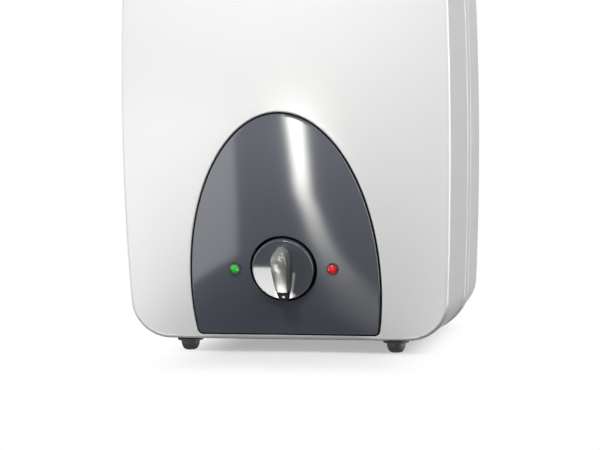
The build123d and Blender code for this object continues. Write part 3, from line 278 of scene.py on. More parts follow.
def tidy_mesh(mesh, sharp):
    """Merges doubles, turns the faces outwards, and shades smoothly up to the sharp angle."""
    work = bmesh.new()
    work.from_mesh(mesh)
    bmesh.ops.remove_doubles(work, verts=work.verts, dist=TINY)
    bmesh.ops.recalc_face_normals(work, faces=work.faces)
    work.to_mesh(mesh)
    work.free()
    mesh.shade_smooth()
    mesh.set_sharp_from_angle(angle=math.radians(sharp))


def make_piece(name, sheets, material, body, replaced=(), sharp=40.0):
    """One mesh from several sheets, which rides on a body, takes the finish given and may replace CAD nodes."""
    starts = np.cumsum([0] + [len(points) for points, _ in sheets])
    points = np.concatenate([points for points, _ in sheets])
    quads = np.concatenate([quads + start for (_, quads), start in zip(sheets, starts)])
    mesh = new_mesh(name, points, quads, material)
    tidy_mesh(mesh, sharp)
    piece = add_object(name, mesh)
    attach(piece, body)
    if replaced:
        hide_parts(*replaced)


def smooth_copy(name, material, sharp=30.0):
    """A merged and smoothly shaded copy of a CAD node, which stands for it."""
    node = frame["nodes"][name]
    mesh = node.data.copy()
    mesh.name = name + "_finish"
    mesh.materials.clear()
    tidy_mesh(mesh, sharp)
    mesh.materials.append(material)
    piece = add_object(name + "_finish", mesh)
    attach(piece, node["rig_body"])
    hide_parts(name)


def local_frame(origin, x_axis, z_axis):
    """A place with its own X, Y and Z axes."""
    x_axis = np.asarray(x_axis, float) / np.linalg.norm(x_axis)
    z_axis = np.asarray(z_axis, float) / np.linalg.norm(z_axis)
    return np.asarray(origin, float), x_axis, np.cross(z_axis, x_axis), z_axis


def placed(place, x, y, z):
    """Points at x, y, z in a local frame."""
    origin, *axes = place
    return origin + np.stack(np.broadcast_arrays(x, y, z), axis=-1) @ np.stack(axes)


def lathe(place, profile, columns=96):
    """A profile of radius and height turned round the local Z axis: r cos t, r sin t, h."""
    radius, height = np.asarray(profile, float).T[..., None]
    turn = np.linspace(0, math.tau, columns, endpoint=False)
    return sheet(placed(place, radius * np.cos(turn), radius * np.sin(turn), height), wrap=True)


def arc(centre, radius, start, end, steps=8):
    """Points on a circle in a profile, from one angle to another in degrees."""
    return np.asarray(centre) + radius * rays(np.radians(np.linspace(start, end, steps)))


def chain(*parts):
    """Profile pieces, points or arcs, one after the other."""
    return np.concatenate([np.atleast_2d(np.asarray(part, float)) for part in parts])


def upright(x, depth, height):
    """Local frame that stands upright at a place of the heater."""
    return local_frame((x, CROWN + depth, height), (1, 0, 0), (0, 0, 1))


# Outlines of the casing and of the panel


def casing_outline(inset):
    """Closed outline about mid height: barrel arcs with round corners, drawn in by inset.

    A corner's circle touches the side's arc and the end's arc from within, so its centre lies as far from each
    arc's centre as their radii differ."""
    wide, tall = HALF_WIDTH - inset, HALF_HEIGHT - inset
    corner_x, corner_z = wide - SIDE_BOW, tall - END_BOW
    side_radius = (SIDE_BOW**2 + corner_z**2) / (2 * SIDE_BOW)
    end_radius = (END_BOW**2 + corner_x**2) / (2 * END_BOW)
    side = np.array([wide - side_radius, 0.0])
    end = np.array([0.0, tall - end_radius])
    radius = CORNER_RADIUS - inset
    reach_side, reach_end = side_radius - radius, end_radius - radius
    span = np.linalg.norm(end - side)
    along = (reach_side**2 - reach_end**2 + span**2) / (2 * span)
    off = math.sqrt(reach_side**2 - along**2)
    direction = (end - side) / span
    middle = side + along * direction
    options = [middle + sign * off * np.array([direction[1], -direction[0]]) for sign in (1, -1)]
    centre = max(options, key=lambda point: point[0] + point[1])
    first = math.atan2(centre[1] - side[1], centre[0] - side[0])
    last = math.atan2(centre[1] - end[1], centre[0] - end[0])
    quarter = np.concatenate([
        side + side_radius * rays(np.linspace(0, first, 200)),
        centre + radius * rays(np.linspace(first, last, 240)[1:]),
        end + end_radius * rays(np.linspace(last, math.pi / 2, 100)[1:])])
    upper = np.concatenate([quarter, (quarter * (-1, 1))[::-1][1:]])
    lower = (upper * (1, -1))[::-1][1:-1]
    return np.concatenate([upper, lower]) + (0, MID_HEIGHT)


def arch_outline(grow):
    """Closed outline of the panel: half an ellipse and more, cut flat below with small corners."""
    wide, tall, skirt = PANEL_HALF_WIDTH + grow, PANEL_ARCH + grow, PANEL_SKIRT + grow
    radius = PANEL_CORNER + grow
    cut = -math.asin(skirt / tall)
    curve = rays(np.linspace(cut, math.pi - cut, 1600)) * (wide, tall)
    tangent = np.gradient(curve, axis=0)
    normal = np.stack([tangent[:, 1], -tangent[:, 0]], axis=-1)
    normal /= np.linalg.norm(normal, axis=-1, keepdims=True)
    centres = curve - radius * normal
    start = int(np.argmin(np.abs(centres[:400, 1] - (radius - skirt))))
    centre = centres[start]
    first = math.atan2(normal[start, 1], normal[start, 0])
    corner = centre + radius * rays(np.linspace(first, -math.pi / 2, 60))
    flat = np.stack([np.linspace(-centre[0], centre[0], 80), np.full(80, -skirt)], axis=-1)
    outline = np.concatenate([curve[start:len(curve) - start], corner * (-1, 1), flat[1:-1], corner[::-1]])
    return outline + (0, PANEL_CENTRE)


def rounded_rectangle(half_width, low, high, radius, centre_x):
    """Closed outline of a rectangle with round corners."""
    corners = []
    for quarter, (side, height) in enumerate(
            ((1, high - radius), (-1, high - radius), (-1, low + radius), (1, low + radius))):
        turn = (np.linspace(0, 1, 16) + quarter) * math.pi / 2
        corners.append(radius * rays(turn) + (centre_x + side * (half_width - radius), height))
    return np.concatenate(corners)


def ray_lengths(outline, centre, angles):
    """Distance from the centre to the outline along each angle."""
    offset = outline - centre
    turn = np.arctan2(offset[:, 1], offset[:, 0])
    order = np.argsort(turn)
    return np.interp(angles, turn[order], np.linalg.norm(offset, axis=-1)[order], period=math.tau)


def ray_angles(centre, outlines, count):
    """Angles at which rays from the centre meet even steps along each outline."""
    found = []
    for outline in outlines:
        closed = np.concatenate([outline, outline[:1]])
        run = np.concatenate([[0], np.cumsum(np.linalg.norm(np.diff(closed, axis=0), axis=-1))])
        steps = np.linspace(0, run[-1], count, endpoint=False)
        x, z = (np.interp(steps, run, closed[:, i]) - centre[i] for i in range(2))
        found.append(np.arctan2(z, x))
    angles = np.sort(np.concatenate(found))
    keep = np.concatenate([[True], np.diff(angles) > math.radians(0.05)])
    return angles[keep]


def arch_points(angles, grow):
    """Points where rays from the knob's middle meet the grown outline of the panel."""
    return KNOB_CENTRE + ray_lengths(arch_outline(grow), KNOB_CENTRE, angles)[:, None] * rays(angles)


def in_space(points, depth):
    """Points of width and height at a depth behind the crown."""
    return np.stack(np.broadcast_arrays(points[..., 0], CROWN + depth, points[..., 1]), axis=-1)


class Reach:
    """Length of each ray to the casing outline at any inset, from a table of insets."""

    STEP = 1 * MM

    def __init__(self, centre, angles, deepest):
        self.centre = np.asarray(centre)
        self.angles = angles
        self.insets = np.arange(-2 * MM, deepest + 2 * self.STEP, self.STEP)
        self.table = np.stack([ray_lengths(casing_outline(i), self.centre, angles) for i in self.insets])
        self.columns = np.arange(len(angles))

    def __call__(self, inset):
        """Ray lengths at an inset, one for all rays or one for each."""
        position = (np.broadcast_to(inset, self.angles.shape) - self.insets[0]) / self.STEP
        low = np.clip(np.floor(position).astype(int), 0, len(self.table) - 2)
        share = position - low
        return self.table[low, self.columns] * (1 - share) + self.table[low + 1, self.columns] * share

    def inset_at(self, length):
        """Inset of the outline that passes each ray at a length."""
        return np.array([
            np.interp(at, lengths[::-1], self.insets[::-1]) for at, lengths in zip(length, self.table.T)])

    def points(self, length):
        """Points in width and height at a length along each ray."""
        return self.centre + length[:, None] * rays(self.angles)

    def row(self, length, depth):
        """Row of points in space at a length along each ray and a depth behind the crown."""
        return in_space(self.points(length), depth)


def face_shares(points):
    """Squares of a point's width and height, as shares of the face's half width and half height."""
    return (points[..., 0] / RIM_HALF_WIDTH) ** 2, ((points[..., 1] - MID_HEIGHT) / RIM_HALF_HEIGHT) ** 2


def face_depth(points):
    """Depth of the domed face: a share of width squared, of height squared and of their product."""
    u, v = face_shares(points)
    return DROP_SIDE * u + DROP_TOP * v - DROP_SHARED * u * v


def face_slopes(points):
    """Slopes of the domed face across and up."""
    u, v = face_shares(points)
    across = (DROP_SIDE - DROP_SHARED * v) * 2 * points[..., 0] / RIM_HALF_WIDTH**2
    up = (DROP_TOP - DROP_SHARED * u) * 2 * (points[..., 1] - MID_HEIGHT) / RIM_HALF_HEIGHT**2
    return across, up


def face_frame(x, height):
    """Local frame on the domed face, with its Z axis along the outward normal."""
    point = np.array([x, height])
    across, up = face_slopes(point)
    return local_frame((x, CROWN + face_depth(point), height), (1, across, 0), (across, -1, up))


KNOB_PLACE = face_frame(*KNOB_CENTRE)


def outline_normals(points):
    """Outward normals of a closed row of points that runs anticlockwise."""
    tangent = np.roll(points, -1, axis=0) - np.roll(points, 1, axis=0)
    normal = np.stack([tangent[:, 1], -tangent[:, 0]], axis=-1)
    return normal / np.linalg.norm(normal, axis=-1, keepdims=True)


def rolled(inset, edge):
    """Height of a rolled edge over its base at an inset: a quarter circle, and level farther in."""
    return np.sqrt(np.maximum(edge**2 - (edge - np.clip(inset, 0, edge)) ** 2, 0))


# Pieces of the casing and of the panel


def flank_rows(reach, start, end, slope, settings, sign):
    """Rows down a flank from a depth of its own for each ray to the seam, with the rim bead and the rim."""
    rows = []
    bead = settings.bead
    bead_start = end - sign * settings.bead_width

    def add(depth, inset):
        """One more row at a depth, drawn in from the sloping flank."""
        rows.append(reach.row(reach(inset + slope * np.abs(SEAM_DEPTH - depth)), depth))

    for share in np.linspace(0, 1, 16):
        add(start + (bead_start - start) * share, 0.0)
    for cosine, sine in quarter_turn(5):
        add(bead_start + sign * bead * (1 - cosine), -bead * sine)
    for share in np.linspace(0.15, 0.85, 4):
        add(bead_start + (end - bead_start) * share, -bead)
    for cosine, sine in quarter_turn(5):
        add(end - sign * bead * (1 - sine), -bead * cosine)
    add(end, WALL)
    return rows


def make_front_casing(settings, material):
    """Front shell: recess wall, rounded cut-out, domed face, rolled edge, flank and rim.

    Along rays that point down under the panel, the cut-out's rounding narrows and the rolled edge widens."""
    cut = arch_outline(OPENING_GROW)
    angles = ray_angles(KNOB_CENTRE, [casing_outline(FRONT_DRAFT), cut], 420)
    reach = Reach(KNOB_CENTRE, angles, 10 * MM)
    above = np.clip((np.sin(angles) - UNDER_PANEL) / 0.12, 0, 1)
    below = np.clip((UNDER_PANEL - np.sin(angles)) / 0.1, 0, 1)
    lip_share = LIP_BELOW + (1 - LIP_BELOW) * above
    chamfer = settings.cut_chamfer * lip_share
    edge = settings.edge + EDGE_BELOW * below
    cut_inner = ray_lengths(cut, KNOB_CENTRE, angles)
    wide = ray_lengths(arch_outline(OPENING_GROW + settings.cut_chamfer), KNOB_CENTRE, angles)
    cut_outer = cut_inner + (wide - cut_inner) * lip_share
    rim_depth = np.full(len(angles), DROP_TOP)
    for _ in range(3):
        rim = reach(FRONT_SLOPE * (SEAM_DEPTH - rim_depth))
        border = reach.points(rim)
        rim_depth = face_depth(border)
    across, up = face_slopes(border)
    normal = outline_normals(border)
    fall = np.maximum(across * normal[:, 0] + up * normal[:, 1], 0.0)
    stretch = np.sqrt(1 + fall**2)
    roll_depth = rim_depth - fall * edge + edge * stretch
    roll_inset = edge * (1 - fall / stretch)
    base_inset = reach.inset_at(rim)

    def skin(length):
        """Depth of the face, or of the rolled edge beyond it, at a length along each ray."""
        inset = reach.inset_at(length) - base_inset
        return np.where(inset < roll_inset, roll_depth - rolled(inset, edge), face_depth(reach.points(length)))

    lip = skin(cut_outer)
    rows = [reach.row(cut_inner, lip + depth) for depth in (4.0 * MM, 3.1 * MM, 1.4 * MM)]
    for cosine, sine in quarter_turn(7):
        length = cut_inner + (cut_outer - cut_inner) * (1 - cosine)
        rows.append(reach.row(length, lip + 0.8 * chamfer * (1 - sine)))
    # The roll stops short of the cut-out where the strip between them is narrow.
    cut_inset = np.maximum(reach.inset_at(cut_outer) - base_inset, TINY)
    widest = np.arccos(np.clip(1 - cut_inset / edge, -1, 1))
    roll_turn = np.minimum(np.arctan2(1.0, fall), 0.92 * widest)
    roll_length = reach(base_inset + edge * (1 - np.cos(roll_turn)))
    for share in np.linspace(0, 1, 40)[1:]:
        eased = 0.5 * share + 0.5 * (1 - (1 - share) ** 2)
        length = cut_outer + (roll_length - cut_outer) * eased
        rows.append(reach.row(length, skin(length)))
    for share in np.linspace(1, 0, 12)[1:]:
        length = reach(base_inset + edge * (1 - np.cos(roll_turn * share)))
        rows.append(reach.row(length, roll_depth - edge * np.sin(roll_turn * share)))
    rows += flank_rows(reach, roll_depth, SEAM_DEPTH - SEAM_GAP / 2, FRONT_SLOPE, settings, 1)[1:]
    make_piece("front_casing", [closed_sheet(rows)], material, "casing", ("front_shell",), sharp=50)


def make_rear_casing(settings, material):
    """Rear shell: cord pocket, flat back, rolled rear edge, flank and rim."""
    centre = (POCKET_X, (POCKET_LOW + POCKET_HIGH) / 2)
    pocket = rounded_rectangle(POCKET_HALF_WIDTH, POCKET_LOW, POCKET_HIGH, POCKET_CORNER, POCKET_X)
    angles = ray_angles(centre, [casing_outline(BACK_DRAFT), pocket], 360)
    edge = settings.back_edge
    reach = Reach(centre, angles, edge + 4 * MM)
    opening = ray_lengths(pocket, centre, angles)
    roll_depth = BODY_DEPTH - edge
    pocket_floor = BODY_DEPTH - POCKET_DEEP
    drawn_in = BACK_SLOPE * (BODY_DEPTH - SEAM_DEPTH)
    opening_inset = reach.inset_at(opening) - drawn_in
    mouth = roll_depth + rolled(opening_inset, edge)
    rows = [reach.row(opening * share, pocket_floor) for share in (TINY, 0.5, 1.0)]
    for share in np.linspace(0, 1, 6)[1:]:
        rows.append(reach.row(opening, pocket_floor + (mouth - pocket_floor) * share))
    # The roll stops short of the pocket where that lies near the edge.
    widest = np.arccos(np.clip(1 - opening_inset / edge, -1, 1))
    roll_turn = np.minimum(math.pi / 2, 0.96 * widest)
    roll_length = reach(edge * (1 - np.cos(roll_turn)) + drawn_in)
    for share in np.linspace(0, 1, 24)[1:]:
        length = opening + (roll_length - opening) * share
        rows.append(reach.row(length, roll_depth + rolled(reach.inset_at(length) - drawn_in, edge)))
    for share in np.linspace(1, 0, 24)[1:]:
        inset = edge * (1 - np.cos(roll_turn * share))
        depth = roll_depth + edge * np.sin(roll_turn * share)
        rows.append(reach.row(reach(inset + BACK_SLOPE * (depth - SEAM_DEPTH)), depth))
    low = np.full(len(angles), roll_depth)
    rows += flank_rows(reach, low, SEAM_DEPTH + SEAM_GAP / 2, BACK_SLOPE, settings, -1)[1:]
    make_piece("rear_casing", [closed_sheet(rows)], material, "casing", ("rear_shell",), sharp=50)


def make_seam_band(material):
    """Band in the seam: the casing outline drawn in, carried across the gap."""
    centre = (0.0, MID_HEIGHT)
    reach = Reach(centre, ray_angles(centre, [casing_outline(0.0)], 480), 6 * MM)
    shallow, deep = 1.2 * MM, 3.2 * MM
    rows = [reach.row(reach(inset), SEAM_DEPTH + side * SEAM_GAP / 2)
            for inset, side in ((deep, -1), (shallow, -1), (shallow, 0), (shallow, 1), (deep, 1))]
    make_piece("seam_strip", [closed_sheet(rows)], material, "casing", ("seam_band",))


def make_control_panel(settings, material):
    """Panel: knob well, domed face between the well and the arch, rolled rim and edge."""
    proud, edge = settings.proud, settings.edge
    grow = OPENING_GROW - settings.gap
    angles = ray_angles(KNOB_CENTRE, [arch_outline(grow), arch_outline(-30 * MM)], 400)

    def ring(radius, height):
        """Row of points round the knob's axis."""
        return placed(KNOB_PLACE, radius * np.cos(angles), radius * np.sin(angles), height)

    height = np.zeros(len(angles))
    for _ in range(4):
        mouth = ring(WELL_RADIUS + WELL_EDGE, height)
        height = height + (CROWN + face_depth(mouth[:, [0, 2]]) - proud - mouth[:, 1]) / KNOB_PLACE[3][1]
    rows = [ring(radius, -depth) for radius, depth in (
        (TINY, WELL_DEEP), (WELL_RADIUS, WELL_DEEP), (WELL_RADIUS, WELL_DEEP / 2))]
    for cosine, sine in quarter_turn(6):
        rows.append(ring(WELL_RADIUS + WELL_EDGE * (1 - cosine), height - WELL_EDGE * (1 - sine)))
    inner = rows[-1][:, [0, 2]]
    outer = arch_points(angles, grow - edge)
    for share in np.linspace(0, 1, 72)[1:]:
        point = inner + (outer - inner) * share
        rows.append(in_space(point, face_depth(point) - proud))
    base = face_depth(outer) - proud
    for cosine, sine in quarter_turn(7)[1:]:
        point = arch_points(angles, grow - edge * (1 - sine))
        rows.append(in_space(point, base + edge * (1 - cosine)))
    rows.append(in_space(point, base + PANEL_WALL))
    make_piece("arch_panel", [closed_sheet(rows)], material, "casing", ("control_panel",), sharp=50)


def make_panel_seal(settings, material):
    """Black seal that fills the gap round the panel: a flat strip carried along the arch, under its face."""
    grows = (OPENING_GROW - settings.gap, OPENING_GROW)
    angles = ray_angles(KNOB_CENTRE, [arch_outline(grow) for grow in grows], 400)
    inner, outer = (arch_points(angles, grow) for grow in grows)
    top, foot = 0.75 * MM, 3 * MM
    rows = [in_space(points, face_depth(points) + depth)
            for points, depth in ((inner, foot), (inner, top), (outer, top), (outer, foot), (inner, foot))]
    make_piece("panel_seal", [closed_sheet(rows)], material, "casing", ("panel_gasket",))


# Pieces of the knob, lights, feet and pipes


def make_knob_disc(settings):
    """Disc of the knob: flat face, bevelled rim and skirt."""
    radius, proud = settings.radius, settings.proud
    bevel, skirt = 0.7 * MM, 4.6 * MM
    profile = chain(
        (0, proud), (radius * 0.5, proud), (radius - bevel - 0.1 * MM, proud),
        arc((radius - bevel, proud - bevel), bevel, 90, 0, 9), (radius, -skirt), (TINY, -skirt))
    return lathe(KNOB_PLACE, profile, 192)


# Stations of the grip in millimetres: place along the knob, half width and height of its crest over the disc
GRIP_STATIONS = np.array([
    (18.9, 0.15, 1.6), (18.6, 1.2, 3.0), (17.9, 2.5, 6.2), (16.9, 3.6, 10.4), (15.9, 4.5, 13.6),
    (15.3, 4.8, 14.5), (14.4, 5.2, 15.0), (12.5, 5.65, 15.25), (10.0, 5.9, 15.3), (7.0, 5.95, 15.1),
    (3.5, 5.8, 14.6), (0.0, 5.6, 13.75), (-3.5, 5.4, 12.6), (-7.0, 5.2, 11.15), (-10.0, 5.0, 9.7),
    (-13.0, 4.8, 8.15), (-14.8, 4.7, 7.15), (-15.5, 4.65, 6.75)])
SUNK = 0.4 * MM


def grip_sections(settings):
    """Place along the knob, half width and crest height of the grip, at even steps along its stations."""
    stations = GRIP_STATIONS * MM
    run = np.concatenate([[0], np.cumsum(np.linalg.norm(np.diff(stations, axis=0), axis=-1))])
    steps = np.linspace(0, run[-1], 90)
    along, half, crest = (np.interp(steps, run, stations[:, i]) for i in range(3))
    return along, half, crest + settings.proud


def shoulder_rows(half, crest, shoulder, steps):
    """Half widths and heights of the rows that round a ridge between its flank and its crest."""
    return zip(*((half - shoulder * (1 - cosine), crest - shoulder * (1 - sine))
                 for cosine, sine in quarter_turn(steps)))


def ridge(along, x_rows, z_rows, foot, ends):
    """Ridge on the knob from the rows of its right half, foot first, closed by flat ends at some columns."""
    x = np.stack(x_rows + [-row for row in x_rows[-2::-1]])
    z = np.stack(z_rows + z_rows[-2::-1])
    sheets = [sheet(placed(KNOB_PLACE, x, along, z))]
    for column in ends:
        section = np.stack([z[:, column], np.full(len(z), foot)])
        sheets.append(sheet(placed(KNOB_PLACE, x[:, column], along[column], section)))
    return sheets


def make_grip(settings):
    """Grip of the knob: a section with rounded shoulders and a faint dome, carried along the arched crest."""
    along, half, crest = grip_sections(settings)
    foot = settings.proud - SUNK
    shoulder, dome = np.minimum(0.9 * MM, half * 0.6), 0.45 * MM
    round_x, round_z = shoulder_rows(half, crest, shoulder, 8)
    x_rows = [half * 1.04, half * 1.02, *round_x, (half - shoulder) * 0.66, (half - shoulder) * 0.33, half * 0]
    z_rows = [np.full_like(along, foot), foot + (crest - shoulder - foot) * 0.5, *round_z,
              crest + dome * 0.55, crest + dome * 0.9, crest + dome]
    return ridge(along, x_rows, z_rows, foot, [-1])


def make_pointer(settings, material):
    """Black pointer: a ramp from the grip's tail down to the disc's rim, narrowing as it goes.

    Its half width falls evenly from 4.6 to 3.5 mm and its crest, a little faster at first, from 6.3 to 0.9 mm."""
    share = np.linspace(0, 1, 14)
    along = (-15.5 - 8.7 * share) * MM
    half = (4.6 - 1.1 * share) * MM
    crest = settings.proud + (6.3 - 5.4 * share**0.85) * MM
    foot = settings.proud - SUNK
    round_x, round_z = shoulder_rows(half, crest, 0.5 * MM, 5)
    x_rows = [half, *round_x, half * 0]
    z_rows = [np.full_like(along, foot), *round_z, crest - 0.35 * MM]
    make_piece("pointer", ridge(along, x_rows, z_rows, foot, (0, -1)), material, "knob",
               ("knob_pointer",))


def make_lamps(settings, glass, bezel_material):
    """Pilot lights: a domed lens in a rounded ring, turned on the panel's face."""
    radius, outer, inner = settings.radius, settings.bezel, settings.radius + 0.05 * MM
    base, dome, small, large = 0.9 * MM, 1.1 * MM, 0.3 * MM, 0.55 * MM
    crown = [(radius * sine, base + dome * cosine) for cosine, sine in quarter_turn(12)]
    lens = chain(crown, (radius, -2 * MM), (TINY, -2 * MM))
    ring = chain(
        (inner, -1 * MM), (inner, base), arc((inner + small, 1.15 * MM), small, 180, 90, 5),
        arc((outer - large, 1.45 * MM - large), large, 90, 0, 6),
        (outer, 0.2 * MM), (outer - small, -1 * MM), (inner, -1 * MM))
    rings = []
    for name, x, node, slot in (
            ("green_light", -LAMP_SPREAD, "green_lens", "green_lens"),
            ("red_light", LAMP_SPREAD, "red_lens", "red_lens")):
        place = face_frame(x, KNOB_HEIGHT)
        make_piece(name, [lathe(place, lens, 64)], glass[name], "casing", (node,))
        rings.append(lathe(place, ring, 64))
    make_piece("light_rings", rings, bezel_material, "casing", ("lamp_bezels",))


def make_feet(material):
    """Rubber feet: flange up to the underside, rounded dome and a flat tread with the screw recess."""
    flange, dome, tread, bore, recess = 10 * MM, 7.2 * MM, 3.2 * MM, 2.9 * MM, 3.3 * MM
    rounding, corner = 0.7 * MM, 0.3 * MM
    sheets = []
    for depth, top in FOOT_PLACES:
        shoulder = top - 2.1 * MM
        bowl = [(tread + (dome - tread) * sine, shoulder * (1 - cosine)) for cosine, sine in quarter_turn(16)]
        profile = chain(
            (TINY, recess), (bore, recess), (bore, corner), (bore + corner, 0), bowl,
            (flange - 2.2 * MM, shoulder), arc((flange - rounding, shoulder + 1 * MM), rounding, -60, 0, 6),
            arc((flange - corner, top - corner), corner, 0, 90, 4), (TINY, top))
        sheets += [lathe(upright(x, depth, 0), profile, 72) for x in (-FOOT_SPREAD, FOOT_SPREAD)]
    make_piece("rubber_feet", sheets, material, "casing", ("feet",))


def make_pipe(name, node, x, material):
    """Nipple with a helical thread: the radius falls and rises with height less a share of the turn."""
    low, top = (corner.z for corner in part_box(node))
    radius, bore, pitch, thread_deep, corner = 10.5 * MM, 7.5 * MM, 1.814 * MM, 0.9 * MM, 0.3 * MM
    root, thread_low = radius - thread_deep, top - 16 * MM
    turn = np.linspace(0, math.tau, 96, endpoint=False)
    height = np.linspace(thread_low, top - 0.9 * MM, 110)
    wave = np.abs(((height[:, None] / pitch - turn / math.tau) % 1) * 2 - 1)
    fade = np.clip((height - thread_low) / (1.5 * MM), 0, 1)[:, None]
    thread = radius - 0.05 * MM - thread_deep * wave * fade
    plain = [(bore, low), (radius, low), (radius, top - 18 * MM), (root, top - 17.6 * MM),
             (root, top - 16.2 * MM)]
    crown = [(root, top), (bore + corner, top), (bore, top - corner), (bore, low)]
    place = upright(x, PIPE_DEPTH, 0)
    rows = [placed(place, r * np.cos(turn), r * np.sin(turn), h)
            for r, h in (*plain, *zip(thread, height), *crown)]
    make_piece(name, [closed_sheet(rows)], material, "casing", (node,), sharp=70)


def make_collar(name, node, x, material):
    """Round collar with a rolled upper edge."""
    low, high = (corner.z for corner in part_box(node))
    tall = high - low
    inner, outer, rounding, corner = 10.6 * MM, 16 * MM, 1.2 * MM, 0.5 * MM
    profile = chain(
        (inner, 0), (outer, 0), arc((outer - rounding, tall - rounding), rounding, 0, 90, 7),
        arc((inner + corner, tall - corner), corner, 90, 180, 5), (inner, 0))
    make_piece(name, [lathe(upright(x, PIPE_DEPTH, low), profile)], material, "casing", (node,))


# Finishes


def set_inputs(tree, node, inputs):
    """Gives each input of a node its value, or a link where that is another node's output."""
    for socket, value in inputs.items():
        if isinstance(value, bpy.types.NodeSocket):
            tree.links.new(value, node.inputs[socket])
        else:
            node.inputs[socket].default_value = value


def add_node(tree, kind, inputs=(), **settings):
    """A shader node with its settings and its inputs."""
    node = tree.nodes.new(kind)
    for key, value in settings.items():
        setattr(node, key, value)
    set_inputs(tree, node, dict(inputs))
    return node


def mix_colours(tree, share, first, second):
    """The first colour where the share is 0, and the second where it is 1."""
    return add_node(tree, "ShaderNodeMix", {0: share, 6: first, 7: second}, data_type="RGBA").outputs[2]


def mix_shaders(tree, share, first, second):
    """The first shader where the share is 0, and the second where it is 1."""
    return add_node(tree, "ShaderNodeMixShader", {0: share, 1: first, 2: second}).outputs[0]


def add_shaders(tree, first, second):
    """The sum of two shaders."""
    return add_node(tree, "ShaderNodeAddShader", {0: first, 1: second}).outputs[0]


def soft_step(tree, value, start, end):
    """0 below start and 1 above end, smooth between; start may be the higher."""
    inputs = {"Value": value, "From Min": start, "From Max": end}
    return add_node(tree, "ShaderNodeMapRange", inputs, interpolation_type="SMOOTHSTEP").outputs["Result"]


def distance_from(tree, point):
    """Distance of the shaded place from a point of the heater."""
    coords = add_node(tree, "ShaderNodeTexCoord").outputs["Object"]
    return add_node(
        tree, "ShaderNodeVectorMath", {0: coords, 1: tuple(point)}, operation="DISTANCE").outputs["Value"]


def surface_group(name, inputs):
    """An empty shader group with named inputs, and a colour, a roughness and a height as outputs."""
    group = bpy.data.node_groups.new(name, "ShaderNodeTree")
    for label, kind, default in inputs:
        socket = group.interface.new_socket(label, in_out="INPUT", socket_type=kind)
        socket.default_value = default
    for label, kind in (("Colour", "NodeSocketColor"), ("Roughness", "NodeSocketFloat"),
                        ("Height", "NodeSocketFloat")):
        group.interface.new_socket(label, in_out="OUTPUT", socket_type=kind)
    return group, group.nodes.new("NodeGroupInput"), group.nodes.new("NodeGroupOutput")


def end_group(group, start, end, shade, height):
    """Puts out the group's colour and roughness times a shade, and a height."""
    tint = add_node(group, "ShaderNodeVectorMath", {0: start.outputs["Colour"], "Scale": shade}, operation="SCALE")
    rough = add_node(group, "ShaderNodeMath", {0: start.outputs["Roughness"], 1: shade}, operation="MULTIPLY")
    set_inputs(group, end, {"Colour": tint.outputs[0], "Roughness": rough.outputs[0], "Height": height})
    return group


def moulded_surface_group():
    """Faint unevenness of a moulded surface: the shade is 1 + variation * (cloud - 0.5)."""
    group, start, end = surface_group("moulded_surface", [
        ("Colour", "NodeSocketColor", (0.8, 0.8, 0.8, 1)), ("Variation", "NodeSocketFloat", 0.03),
        ("Roughness", "NodeSocketFloat", 0.4), ("Grain scale", "NodeSocketFloat", 900.0)])
    coords = add_node(group, "ShaderNodeTexCoord").outputs["Object"]
    scale, variation = start.outputs["Grain scale"], start.outputs["Variation"]
    grain = add_node(group, "ShaderNodeTexNoise", {"Vector": coords, "Scale": scale, "Detail": 3})
    cloud = add_node(group, "ShaderNodeTexNoise", {"Vector": coords, "Scale": 14})
    shade = add_node(
        group, "ShaderNodeMath", {0: cloud.outputs["Fac"], 1: variation, 2: 1}, operation="MULTIPLY_ADD")
    centred = add_node(
        group, "ShaderNodeMath", {0: variation, 1: -0.5, 2: shade.outputs[0]}, operation="MULTIPLY_ADD")
    return end_group(group, start, end, centred.outputs[0], grain.outputs["Fac"])


def brushed_metal_group():
    """Fine brushed lines along one axis: noise stretched far across it."""
    group, start, end = surface_group("brushed_metal", [
        ("Colour", "NodeSocketColor", (0.7, 0.7, 0.7, 1)), ("Roughness", "NodeSocketFloat", 0.3)])
    coords = add_node(group, "ShaderNodeTexCoord").outputs["Object"]
    stretch = add_node(group, "ShaderNodeMapping", {"Vector": coords, "Scale": (60, 60, 2500)})
    lines = add_node(group, "ShaderNodeTexNoise", {"Vector": stretch.outputs[0], "Scale": 1, "Detail": 2})
    shade = add_node(
        group, "ShaderNodeMapRange", {"Value": lines.outputs["Fac"], "To Min": 0.88, "To Max": 1.08})
    return end_group(group, start, end, shade.outputs["Result"], lines.outputs["Fac"])


GROUPS = {}


def effect(name):
    """The shared shader group of that name, built once."""
    makers = {"moulded_surface": moulded_surface_group, "brushed_metal": brushed_metal_group}
    if name not in GROUPS:
        GROUPS[name] = makers[name]()
    return GROUPS[name]


def new_finish(name):
    """A material with its node tree and its Principled shader."""
    material = bpy.data.materials.new(name)
    material.use_nodes = True
    return material, material.node_tree, material.node_tree.nodes["Principled BSDF"]


def grouped_finish(name, group, given, grain, plain):
    """A material whose colour, roughness and bump come from a shared group, with the rest as plain values."""
    material, tree, shader = new_finish(name)
    surface = add_node(tree, "ShaderNodeGroup", given, node_tree=effect(group)).outputs
    bump = add_node(
        tree, "ShaderNodeBump", {"Height": surface["Height"], "Strength": grain, "Distance": 0.02 * MM})
    set_inputs(tree, shader, {
        "Base Color": surface["Colour"], "Roughness": surface["Roughness"], "Normal": bump.outputs["Normal"],
        **plain})
    return material


def plastic(name, colour, roughness, grain=0.05, variation=0.03, coat=0.0, specular=0.5, scale=900.0):
    """Moulded plastic or rubber with a faint grain."""
    given = {"Colour": (*colour, 1), "Variation": variation, "Roughness": roughness, "Grain scale": scale}
    plain = {"Coat Weight": coat, "Coat Roughness": 0.05, "Specular IOR Level": specular}
    return grouped_finish(name, "moulded_surface", given, grain, plain)


